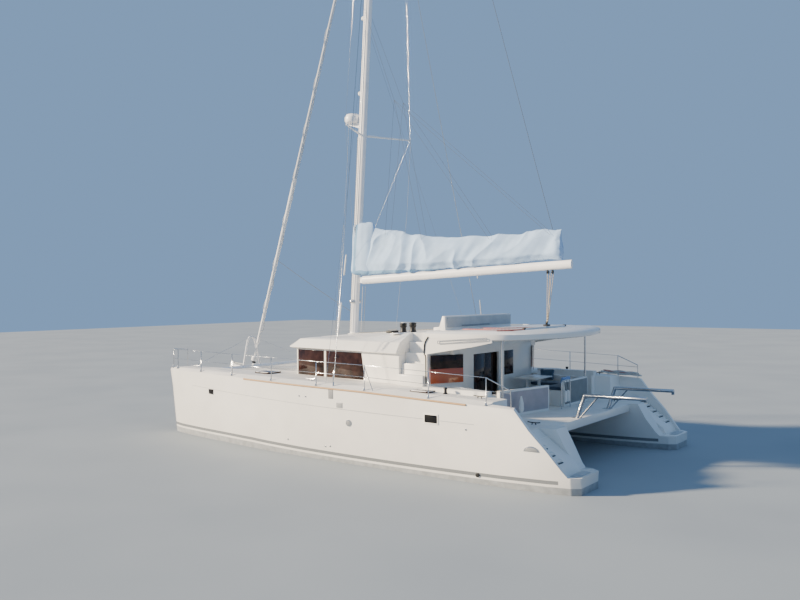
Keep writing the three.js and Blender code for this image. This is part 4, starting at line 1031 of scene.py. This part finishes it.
class CATAMARAN_OT_house(bpy.types.Operator):
    """Adds the deckhouse, its windows, the coachroof, the hardtop and the bulkhead with its doors"""

    bl_idname = "catamaran.house"
    bl_label = "Deckhouse"

    def execute(self, context):
        for part in ("front", "port", "starboard"):
            skin(f"house_{part}", "gelcoat", 25, 0.008)
            skin(f"glass_{part}", "window", 25)
        roof = skin("coachroof", "gelcoat", 32, 0.02, 3)
        second_finish(roof, "deck", lambda centre, normal: normal.z > 0.985 and centre.z > 3.0)
        skin("hardtop", "gelcoat", 40, 0.03, 4)
        skin("bulkhead", "gelcoat", 30, 0.008)
        skin("door_sill", "frame", 35, 0.003)
        for node in ("door_sliding", "door_fixed"):
            self.door(node)
        for side, sign in SIDES:
            stairs = skin(f"stairs_{side}", "gelcoat", 35, 0.012)
            second_finish(stairs, "deck", is_deck)
            self.side_panes(side, sign)
            self.wing_panes(side, sign)
            self.corner_shade(side, sign)
            self.grab_rail(side, sign)
        self.far_pane()
        return {"FINISHED"}

    def door(self, node):
        door = skin(node, "frame", 35, 0.003)
        low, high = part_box(node)
        near, far = low[1] + DOOR_FRAME, high[1] - DOOR_FRAME
        foot, head = low[2] + DOOR_FRAME, high[2] - DOOR_FRAME
        second_finish(door, "glass", lambda centre, normal: abs(normal.x) > 0.9
                      and near < centre.y < far and foot < centre.z < head)
        x = low[0] - 0.004
        pane = panel([(x, near, foot), (x, far, foot), (x, far, head), (x, near, head)], 0.006, 0.002)
        finish(pane, f"{node}_pane", "window", body_of(node))

    def side_panes(self, side, sign):
        """Flush panes glued on the house side, with rounded corners."""
        node = f"house_{side}"
        near, _ = side_of(node, 0.95, 2.3, sign)
        far, _ = side_of(node, -1.2, 2.3, sign)
        slope = (far.y - near.y) / (far.x - near.x)

        def wall(x):
            return near.y + slope * (x - near.x) + sign * 0.002

        made = []
        for corners in PANES:
            line = [(x, wall(x), z) for x, z in corners]
            made.append(coat(panel(line if sign > 0 else line[::-1], 0.008, 0.003), "window"))
        finish(joined(made), f"side_panes_{side}")

    def wing_panes(self, side, sign):
        """The window beside the doors: dark above, and below it a painted orange reflection, drawn with a
        varnished wood grain.
        """
        (x0, y0), (x1, y1) = BULK_LINE
        start, end = Vector((x0, sign * y0, 0)), Vector((x1, sign * y1, 0))
        out = Vector((BULK_OUT[0], sign * BULK_OUT[1], 0)) * BULK_THICK
        corners = [start.lerp(end, 0.06) + out, start.lerp(end, 0.94) + out]
        made = []
        for low, high, name in ((2.355, 2.70, "window"), (2.0, 2.36, "orange_reflection")):
            ring = [corners[0] + Vector((0, 0, low)), corners[1] + Vector((0, 0, low)),
                    corners[1] + Vector((0, 0, high)), corners[0] + Vector((0, 0, high))]
            made.append(coat(panel(ring[::-1] if sign > 0 else ring, 0.008, 0.003), name))
        finish(joined(made), f"wing_panes_{side}")

    def far_pane(self):
        """The pane beyond the doors."""
        ring = [(-3.06, -0.25, 2.66), (-3.06, -0.76, 2.66), (-3.06, -0.76, 2.0), (-3.06, -0.25, 2.0)]
        finish(panel(ring, 0.006, 0.002), "far_pane", "window")

    def corner_shade(self, side, sign):
        """A black band down the corner of the house: painted shade on the forward edge of the hardtop's
        pillar.
        """
        path = eased([(-2.72, sign * 2.90, 3.17), (-2.615, sign * 2.905, 3.02), (-2.595, sign * 2.90, 2.74),
                      (-2.60, sign * 2.83, 2.70), (-2.60, sign * 2.83, 2.0)], 0.08)
        tubes(f"corner_painted_shade_{side}", [path], 0.035, "black")

    def grab_rail(self, side, sign):
        """The long oval handrail along the hardtop's side."""
        def on(x, z):
            point, normal = side_of("hardtop", x, z, sign)
            return point + normal * 0.03

        top = [on(-3.0 - 0.13 * i, 3.075 + 0.010 * i) for i in range(11)]
        low = [on(-3.0 - 0.13 * i, 3.01 + 0.011 * i) for i in range(11)]
        ring = eased([*top, *low[::-1], top[0]], 0.02, 3)
        tubes(f"hardtop_handrail_{side}", [ring], 0.018, "steel")


# Places (x, y) of the winches and of the traveller's car, and the row of clutches
WINCHES = ((-0.98, 1.56), (-1.34, 1.62))
CAR = (-4.42, -0.09)
CLUTCH = {"x": -0.42, "y": 1.18, "pitch": 0.09, "count": 4}


def clutch_y(sign, i):
    return sign * (CLUTCH["y"] + CLUTCH["pitch"] * i)


class CATAMARAN_OT_flybridge(bpy.types.Operator):
    """Adds the winches, the clutches, the roof hatches, the seat's back in painted shade, the traveller's car
    and the lines
    """

    bl_idname = "catamaran.flybridge"
    bl_label = "Flybridge gear"

    def execute(self, context):
        self.winches()
        self.clutches()
        self.roof_hatch()
        self.seat()
        self.traveller()
        self.roof_lines()
        return {"FINISHED"}

    def winches(self):
        profile = [(0.105, 0.0), (0.105, 0.03), (0.095, 0.045), (0.08, 0.09), (0.078, 0.16), (0.10, 0.185),
                   (0.102, 0.20), (0.09, 0.21), (0.09, 0.235), (0.10, 0.245), (0.098, 0.27), (0.05, 0.285),
                   (0.02, 0.29)]
        made = []
        for _, sign in SIDES:
            for x, y in WINCHES:
                foot = top_of("coachroof", x + 0.14, sign * y) - 0.01
                made.append(moved(coat(turned(profile, 28), "black"), at(x, sign * y, foot)))
        finish(joined(made), "winches")

    def clutches(self):
        made = []
        for _, sign in SIDES:
            for i in range(CLUTCH["count"]):
                x, y = CLUTCH["x"], clutch_y(sign, i)
                z = top_of("coachroof", x, y)
                body = block((0.20, 0.055, 0.07), (x, y, z + 0.035), 0.012, (0, -3, 0))
                made.append(coat(body, "black"))
                lever = block((0.11, 0.035, 0.02), (x - 0.04, y, z + 0.082), 0.006, (0, -18, 0))
                made.append(coat(lever, "grey"))
        finish(joined(made), "clutches")

    def roof_hatch(self):
        made = []
        for _, sign in SIDES:
            point, normal, _, _ = SURFACES["coachroof"].ray_cast((-1.30, sign * 2.12, 6), (0, 0, -1))
            frame_plate = coat(plate(rounded(0.30, 0.56, 0.04), -0.01, 0.016, 0.005), "alloy")
            glass = coat(plate(rounded(0.24, 0.50, 0.03), 0.0, 0.024, 0.004), "window")
            spot = facing(point, normal)
            made += [moved(frame_plate, spot), moved(glass, spot)]
        finish(joined(made), "roof_hatches")

    def seat(self):
        """Back of the helm seat, seen from aft: its pale grey is painted shade on a white aft face, with a
        darker grey strip low on it.
        """
        back = coat(block((0.03, 3.36, 0.26), (-2.425, -0.08, 3.475), 0.012), "pale_grey")
        strip = coat(block((0.02, 1.45, 0.045), (-2.44, 0.2, 3.37), 0.008), "grey")
        finish(joined([back, strip]), "seat_back_painted_shade")

    def traveller(self):
        x, y = CAR
        car = coat(block((0.14, 0.16, 0.045), (x, y, 3.385), 0.012), "black")
        profile = [(0.03, -0.02), (0.045, -0.014), (0.045, 0.014), (0.03, 0.02)]
        block_shell = coat(turned(profile, 20), "black")
        moved(block_shell, at(x, y, 3.445, 0, 90))
        ends = [coat(block((0.09, 0.05, 0.05), (x, end, 3.345), 0.012), "black") for end in (1.16, -1.16)]
        finish(joined([car, block_shell, *ends]), "traveller_car")

    def roof_lines(self):
        """Halyards and reefing lines from the mast's foot to the clutches, and the traveller's lines."""
        paths = []
        for _, sign in SIDES:
            for i in range(CLUTCH["count"]):
                y = clutch_y(sign, i)
                points = [(2.0, sign * (0.16 + 0.04 * i), 0), (1.0, sign * (0.45 + 0.10 * i), 0),
                          (-0.32, y, 0)]
                path = []
                for x, yy, _ in eased(points, 0.4, 4):
                    path.append((x, yy, top_of("coachroof", min(x, 1.8), yy) + 0.02))
                paths.append(path)
        port, starboard = paths[:CLUTCH["count"]], paths[CLUTCH["count"]:]
        tubes("roof_lines", port, 0.012, "rope")
        tubes("roof_lines_starboard", starboard, 0.012, "tan_rope")
        top = 3.325
        red = [eased([(-4.42, 1.1, top), (-4.40, 1.5, top), (-3.9, 1.9, top), (-3.2, 1.75, top),
                      (-2.9, 1.6, 3.31)], 0.25),
               eased([(-4.30, -0.2, top), (-4.1, 0.4, top + 0.01), (-3.7, 0.9, top), (-3.3, 1.0, top),
                      (-2.95, 0.8, 3.31)], 0.25),
               eased([(-4.42, 1.15, top), (-4.56, 2.0, top), (-4.3, 2.3, top)], 0.2)]
        tubes("traveller_lines", red, 0.022, "red_rope")


# Cockpit

class CATAMARAN_OT_cockpit(bpy.types.Operator):
    """Adds the benches, the cushions, the table, the helm, the posts and the davits"""

    bl_idname = "catamaran.cockpit"
    bl_label = "Cockpit"

    def execute(self, context):
        for node in ("bench_aft", "bench_side", "cockpit_table"):
            skin(node, "gelcoat", 35, 0.012, 3)
        for node in ("cushion_aft", "cushion_side"):
            self.seat_pad(node)
        self.loose_cushion("cushion_dark", (0.46, 0.13, 0.34), (-3.50, -1.95, 1.90), (12, 0, 4))
        self.loose_cushion("cushion_blue", (0.13, 0.46, 0.22), (-4.42, -1.20, 1.85), (0, -14, 0))
        skin("steering_wheel", "steel", 60)
        for side, _ in SIDES:
            skin(f"post_{side}", "steel", 60)
            skin(f"davit_{side}", "steel", 60)
        self.bench_panels()
        self.fenders(context.scene.catamaran_sizes.fender)
        self.rope_bundle()
        return {"FINISHED"}

    def seat_pad(self, node):
        """A seat cushion: the frame's solid, smoothed and blown up."""
        pad = skin(node, "upholstery", 35)
        modify(pad, "REMESH", mode="VOXEL", voxel_size=0.03)
        modify(pad, "SMOOTH", factor=0.5, iterations=4)
        plump(pad, 0.018, 0.016, 5.0)
        coat(pad, "upholstery")

    def loose_cushion(self, name, size, centre, turn):
        """A small cushion, with the finish of its own name."""
        pad = block([side - 0.03 for side in size], centre, 0.03, turn)
        finish(pad, name, smooth=60)
        plump(pad, 0.014, 0.03, 7.0)
        coat(pad, name)

    def bench_panels(self):
        """Upholstered outer faces of the bench backs."""
        start, end = Vector((-4.23, 2.05, 0)), Vector((-4.60, 0.15, 0))
        ring = [start.lerp(end, t) + Vector((-0.004, 0, z))
                for t, z in ((0.02, 1.80), (0.98, 1.80), (0.98, 1.26), (0.02, 1.26))]
        aft = coat(panel(ring[::-1], -0.02, 0.006), "bench_vinyl")
        ring = [(-4.652, -0.68, 1.26), (-4.652, -2.11, 1.26), (-4.652, -2.11, 1.85), (-4.652, -0.68, 1.85)]
        side = coat(panel(ring, -0.02, 0.006), "slate_vinyl")
        finish(joined([aft, side]), "bench_panels")

    def fenders(self, diameter):
        """A tapered white fender and two small ones on a rail with two legs."""
        radius = diameter / 2
        tall = [(0.02, 0.0), (radius * 0.8, 0.02), (radius, 0.07), (radius * 0.9, 0.22), (radius * 0.5, 0.33),
                (0.025, 0.36), (0.02, 0.39)]
        small = [(0.015, 0.0), (radius * 0.62, 0.02), (radius * 0.7, 0.06), (radius * 0.7, 0.24),
                 (radius * 0.55, 0.29), (0.015, 0.31)]
        made = [moved(coat(turned(tall), "vinyl"), at(-4.56, 1.58, 1.32))]
        for y in (-0.40, -0.56):
            made.append(moved(coat(turned(small), "vinyl"), at(-4.80, y, 1.36)))
        finish(joined(made), "fenders")
        corners = ((-0.24, 1.2), (-0.24, 1.93), (-0.76, 1.93), (-0.76, 1.2))
        rail = eased([(-4.76, y, z) for y, z in corners], 0.1)
        lines = [[(-4.76, y, 1.93), (-4.80, y, 1.66)] for y in (-0.40, -0.56)]
        tubes("stern_rail", [rail], 0.03, "steel", sides=12)
        tubes("fender_lines", lines, 0.012, "dark_rope", sides=6)

    def rope_bundle(self):
        """Mooring lines on the starboard deck, aft: loops that lie on each other."""
        paths = {"rope": [], "red_rope": []}
        for i in range(13):
            name = "red_rope" if i % 6 == 2 else "rope"
            middle_x = -4.62 - 0.062 * i
            long, wide = 0.26 - 0.01 * (i % 4), 0.085
            z = 1.875 - 0.003 * i + 0.03 * (i % 3)
            loop = []
            for k in range(25):
                angle = 2 * math.pi * k / 24
                wave = 1 + 0.08 * math.sin(3 * angle + i)
                loop.append((middle_x + long * wave * math.cos(angle), -3.66 + wide * wave * math.sin(angle),
                             z + 0.012 * math.sin(2 * angle + i)))
            paths[name].append(loop)
        tubes("mooring_lines_white", paths["rope"], 0.03, "rope")
        tubes("mooring_lines_red", paths["red_rope"], 0.022, "red_rope")


# Rig

# Depths and sizes of the folds in the sail's cover, and the rings (z, front, back, half width) of its front
COVER_FOLD = {"deep": 0.075, "size": 0.62, "fine": 0.012, "fine_size": 0.2, "wide": 0.035}
# Below this height the cover and its front are painted a deeper blue, as shade
COVER_SHADE_BELOW = 4.93
COLLAR = (
    (4.80, 2.12, 1.30, 0.17),
    (4.95, 2.14, 1.24, 0.20),
    (5.4, 2.10, 1.20, 0.195),
    (5.9, 2.07, 1.18, 0.18),
    (6.30, 2.04, 1.20, 0.15),
    (6.40, 2.01, 1.28, 0.12),
)
# The mast leans aft from its foot
MAST = {"foot_x": 2.07, "foot_z": 3.012, "rake": 0.0647}
DIAMOND_FOOT = (1.91648, 0.09, 5.1)
STAY_RAKE = 0.3308


def mast_x(z):
    """The mast's middle at a height."""
    return MAST["foot_x"] - MAST["rake"] * (z - MAST["foot_z"])


def widest_point(node, low, high):
    """The point of a node furthest to port between two heights."""
    points = [vertex.co for vertex in NODES[node].data.vertices if low < vertex.co.z < high]
    return max(points, key=lambda point: point.y)


class CATAMARAN_OT_rig(bpy.types.Operator):
    """Adds the mast, the boom, the sail cover and its front, the headsail, the shrouds and the radome"""

    bl_idname = "catamaran.rig"
    bl_label = "Rig"

    def execute(self, context):
        skin("mast", "alloy", 40)
        skin("boom", "alloy", 40)
        skin("radome", "alloy", 40)
        self.cover()
        self.collar()
        self.furled()
        for side, _ in SIDES:
            skin(f"shroud_{side}", "steel", 60)
        return {"FINISHED"}

    def cover(self):
        """The folded sail under its cover: swollen cloth with hanging folds, its lower edge painted a deeper
        blue as shade.
        """
        cover = skin("sail_cover", "canvas", 50)
        plump(cover, 0.035, 0.05, 5.0, 14)
        normals = [vertex.normal.copy() for vertex in cover.data.vertices]
        for vertex, out in zip(cover.data.vertices, normals):
            where = vertex.co
            warp = noise.noise(where * 0.7) * 0.9
            slant = Vector((where.x * 0.8 + where.z * 0.5 + warp, where.y * 0.5, where.z * 0.35 - warp))
            deep = abs(noise.noise(slant / COVER_FOLD["size"]))
            wide = noise.noise(where * 0.55 + Vector((7, 0, 3)))
            leaning = Vector((where.x + where.z * 0.6, where.y, where.z * 0.4))
            fine = noise.noise(leaning / COVER_FOLD["fine_size"])
            push = COVER_FOLD["deep"] * (0.5 - deep * 2.2) + COVER_FOLD["fine"] * fine
            push += COVER_FOLD["wide"] * wide
            vertex.co = where + out * push * (0.3 if where.z < 4.86 else 1.0)
        coat(cover, "canvas")
        # The lower edge gets the deeper blue: painted shade
        second_finish(cover, "canvas_painted_shade",
                      lambda centre, normal: centre.z < COVER_SHADE_BELOW and abs(centre.y) > 0.05)
        pick(cover)
        bpy.ops.object.shade_smooth_by_angle(angle=math.radians(70))

    def collar(self):
        """The front of the cover round the mast; it is not attached to the mast or the boom."""
        angles = [2 * math.pi * i / 28 for i in range(28)]
        rings = []
        for z, front, back, half in COLLAR:
            middle, reach = (front + back) / 2, (front - back) / 2
            rings.append([(middle + reach * math.cos(a), half * math.sin(a) * (1 + 0.10 * math.cos(2 * a)),
                           z + 0.02 * math.sin(5 * a)) for a in angles])
        collar = lofted(rings)
        modify(collar, "SUBSURF", levels=2, render_levels=2)
        normals = [vertex.normal.copy() for vertex in collar.data.vertices]
        for vertex, out in zip(collar.data.vertices, normals):
            where = vertex.co
            crease = noise.noise(Vector((where.x * 5, where.y * 5, where.z * 1.3)))
            vertex.co = where + out * 0.02 * crease
        finish(collar, "cover_collar", "canvas", None, smooth=70)
        # The lower edge and a strip down the fold beside the mast get the deeper blue: painted shade
        second_finish(collar, "canvas_painted_shade", lambda centre, normal: centre.z < COVER_SHADE_BELOW or (
            normal.y > 0 and abs(centre.x - 1.93 + 0.06 * (centre.z - 4.9)) < 0.06))
        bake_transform(collar)

    def furled(self):
        """The headsail rolled on its stay, with the edge of its strip winding up it."""
        furled = skin("headsail_furled", "sail", 50)
        low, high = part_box("headsail_furled")
        foot = Vector((high[0] - 0.06, 0.0, low[2]))
        top = Vector((low[0] + 0.04, 0.0, high[2]))
        axis = (top - foot).normalized()
        across = axis.cross(Vector((0, 1, 0))).normalized()
        path = []
        start, end, pitch = 1.15, 13.8, 1.5
        count = 240
        for i in range(count + 1):
            along = start + (end - start) * i / count
            angle = 2 * math.pi * along / pitch
            radius = 0.083 - 0.028 * i / count
            path.append(foot + axis * along + across * (radius * math.cos(angle))
                        + Vector((0, 1, 0)) * (radius * math.sin(angle)))
        tubes("headsail_edge", [path], 0.016, "pale_grey", body_of("headsail_furled"))


class CATAMARAN_OT_rigging(bpy.types.Operator):
    """Adds the stays, the sheets, the halyards, the lazy jacks and the mast's fittings"""

    bl_idname = "catamaran.rigging"
    bl_label = "Rigging"

    def execute(self, context):
        sizes = context.scene.catamaran_sizes
        head = max((vertex.co for vertex in NODES["mast"].data.vertices), key=lambda point: point.z)
        self.head = Vector((head.x - 0.12, 0.0, head.z - 0.05))
        self.stays(sizes.wire)
        self.mainsheet(sizes.sheet)
        self.lazy_jacks(sizes.sheet)
        self.halyards(sizes.sheet)
        self.shroud_ends()
        self.mast_fittings()
        return {"FINISHED"}

    def stays(self, wire):
        """Wires over the spreaders' tips and the lower shrouds."""
        low_tip = widest_point("mast", 8.0, 11.0)
        high_tip = widest_point("mast", 13.0, 16.5)
        paths = []
        for _, sign in SIDES:
            low = Vector((low_tip.x, sign * low_tip.y, low_tip.z))
            high = Vector((high_tip.x, sign * high_tip.y, high_tip.z))
            foot_x, foot_y, foot_z = DIAMOND_FOOT
            paths.append([high, low, (foot_x, sign * foot_y, foot_z)])
            paths.append([(self.head.x + 0.12, sign * 0.06, 18.9), high])
            paths.append([(mast_x(12.2), sign * 0.1, 12.2), (-0.10, sign * 3.72, 1.95)])
        tubes("mast_stays", paths, wire, "steel", sides=6)

    def mainsheet(self, diameter):
        """Four parts between the traveller's car and the boom."""
        low, high = Vector((-4.44, -0.09, 3.45)), Vector((-4.60, 0.0, 4.79))
        paths = [[low + Vector((0, dy, 0)), high + Vector((dx, dy, 0))]
                 for dx, dy in ((-0.06, -0.03), (-0.03, 0.03), (0.05, -0.02), (0.09, 0.03))]
        sheet = tubes("mainsheet", paths, diameter, "tan_rope", None)
        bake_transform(sheet)
        shell = [(0.025, -0.022), (0.05, -0.016), (0.05, 0.016), (0.025, 0.022)]
        shells = [moved(coat(turned(shell, 18), "black"), at(x, 0.0, 4.77, 0, 90)) for x in (-4.50, -4.64)]
        finish(joined(shells), "boom_blocks", body=body_of("boom"))

    def lazy_jacks(self, diameter):
        """Lines from the mast that carry the cover on both sides of the boom."""
        feet = ((0.72, 6.10), (-0.60, 5.88), (-2.84, 5.80), (-4.64, 5.84))
        paths = []
        for _, sign in SIDES:
            root = Vector((1.55, sign * 0.11, 12.99))
            split = Vector((0.30, sign * 0.22, 9.9))
            paths.append([root, split])
            for x, z in feet:
                paths.append([split, (x, sign * 0.14, z - 0.12)])
        piece = tubes("lazy_jacks", paths, diameter * 0.4, "dark_rope", None, 6)
        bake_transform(piece)
        topping = tubes("topping_lift", [[self.head, (-4.86, 0.0, 5.10)]], diameter * 0.7, "dark_rope", None,
                        6)
        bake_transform(topping)

    def halyards(self, diameter):
        """Halyards beside the mast, the flag halyard and the line to the foredeck."""
        foot, boom = mast_x(3.06), mast_x(4.71)
        paths = [
            [(foot - 0.30, 0.02, 3.06), (boom - 0.27, 0.02, 4.45)],
            [(foot - 0.36, -0.03, 3.06), (boom - 0.33, -0.03, 4.45)],
            [(foot + 0.02, 0.13, 3.08), (mast_x(13.39) + 0.02, 0.12, 13.39)],
            [(foot + 0.06, 0.12, 3.08), (mast_x(9.0) + 0.08, 0.12, 9.0)],
        ]
        tubes("halyards", paths, diameter, "rope")
        flag = [[(0.95, sign * 1.50, 9.05), (1.12, sign * 1.50, 6.69), (1.55, sign * 1.46, 3.1)]
                for _, sign in SIDES]
        tubes("flag_halyards", flag, 0.007, "rope", sides=6)
        low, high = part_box("headsail_furled")
        up = 3.5
        stay = (high[0] - 0.07 - STAY_RAKE * up, 0.0, low[2] + up)
        tubes("foredeck_line", [hanging(stay, (2.20, 0.0, 3.70), 0.03)], 0.014, "dark_rope")

    def shroud_ends(self):
        """Bottlescrews and sleeves on the shrouds, on the line from the chainplate to the mast."""
        made = []
        for side, sign in SIDES:
            points = [vertex.co for vertex in NODES[f"shroud_{side}"].data.vertices]
            foot = min(points, key=lambda point: point.z)
            near = [point for point in points if 1.9 < point.z < 12.0 and abs(point.y) > 1.0]
            head = max(near or points, key=lambda point: point.z)
            axis = (Vector(head) - Vector(foot)).normalized()
            for start, length, radius, name in ((0.10, 0.32, 0.019, "steel"), (1.30, 0.85, 0.019, "vinyl"),
                                                (2.85, 0.55, 0.019, "vinyl")):
                profile = [(0.009, 0.0), (radius, 0.03), (radius, length - 0.03), (0.009, length)]
                tube = coat(turned(profile, 14), name)
                turn = axis.to_track_quat("Z", "Y").to_matrix().to_4x4()
                made.append(moved(tube, Matrix.Translation(Vector(foot) + axis * start) @ turn))
        finish(joined(made), "shroud_sleeves")

    def mast_fittings(self):
        """Mast lights, the winches on the mast and the aerial at its head."""
        lamp = [(0.035, -0.05), (0.06, -0.03), (0.06, 0.03), (0.04, 0.06), (0.01, 0.07)]
        light = coat(turned(lamp, 16), "vinyl")
        lamps = copies(light, [at(mast_x(z) + 0.17, 0.0, z) for z in (10.34, 12.6)])
        winch = [(0.06, 0.0), (0.06, 0.02), (0.045, 0.04), (0.045, 0.10), (0.06, 0.12), (0.03, 0.14)]
        drum = coat(turned(winch, 20), "steel")
        drums = copies(drum, [facing((mast_x(4.0), sign * 0.09, 4.0), (0, sign, 0)) for _, sign in SIDES])
        finish(joined([lamps, drums]), "mast_fittings")
        top = self.head + Vector((0.10, 0, 0.05))
        aerial = [top + Vector((-0.05, 0.05, -0.1)), top + Vector((-0.05, 0.05, 0.0))]
        tubes("masthead_aerial", [aerial], 0.02, "black", sides=6)


class CATAMARAN_PT_panel(bpy.types.Panel):
    """Shows the sizes, the colours and a button for each step"""

    bl_idname = "CATAMARAN_PT_panel"
    bl_label = "Catamaran"
    bl_space_type = "VIEW_3D"
    bl_region_type = "UI"
    bl_category = "Catamaran"

    def draw(self, context):
        for group in (context.scene.catamaran_sizes, context.scene.catamaran_colours):
            for key in group.__annotations__:
                self.layout.prop(group, key)
        for operator in OPERATORS:
            self.layout.operator(operator.bl_idname)


OPERATORS = (
    CATAMARAN_OT_hulls,
    CATAMARAN_OT_hull_fittings,
    CATAMARAN_OT_bow,
    CATAMARAN_OT_deck,
    CATAMARAN_OT_house,
    CATAMARAN_OT_flybridge,
    CATAMARAN_OT_cockpit,
    CATAMARAN_OT_rig,
    CATAMARAN_OT_rigging,
    CATAMARAN_OT_stage,
)
CLASSES = (CatamaranSizes, CatamaranColours, *OPERATORS, CATAMARAN_PT_panel)


def register():
    for cls in CLASSES:
        bpy.utils.register_class(cls)
    bpy.types.Scene.catamaran_sizes = bpy.props.PointerProperty(type=CatamaranSizes)
    bpy.types.Scene.catamaran_colours = bpy.props.PointerProperty(type=CatamaranColours)


def unregister():
    del bpy.types.Scene.catamaran_colours
    del bpy.types.Scene.catamaran_sizes
    for cls in reversed(CLASSES):
        bpy.utils.unregister_class(cls)


def main():
    register()
    mix_finishes(bpy.context.scene.catamaran_sizes, bpy.context.scene.catamaran_colours)
    bpy.ops.catamaran.hulls()
    bpy.ops.catamaran.hull_fittings()
    bpy.ops.catamaran.bow()
    bpy.ops.catamaran.deck()
    bpy.ops.catamaran.house()
    bpy.ops.catamaran.flybridge()
    bpy.ops.catamaran.cockpit()
    bpy.ops.catamaran.rig()
    bpy.ops.catamaran.rigging()
    bpy.ops.catamaran.stage()


if __name__ == "__main__":
    main()
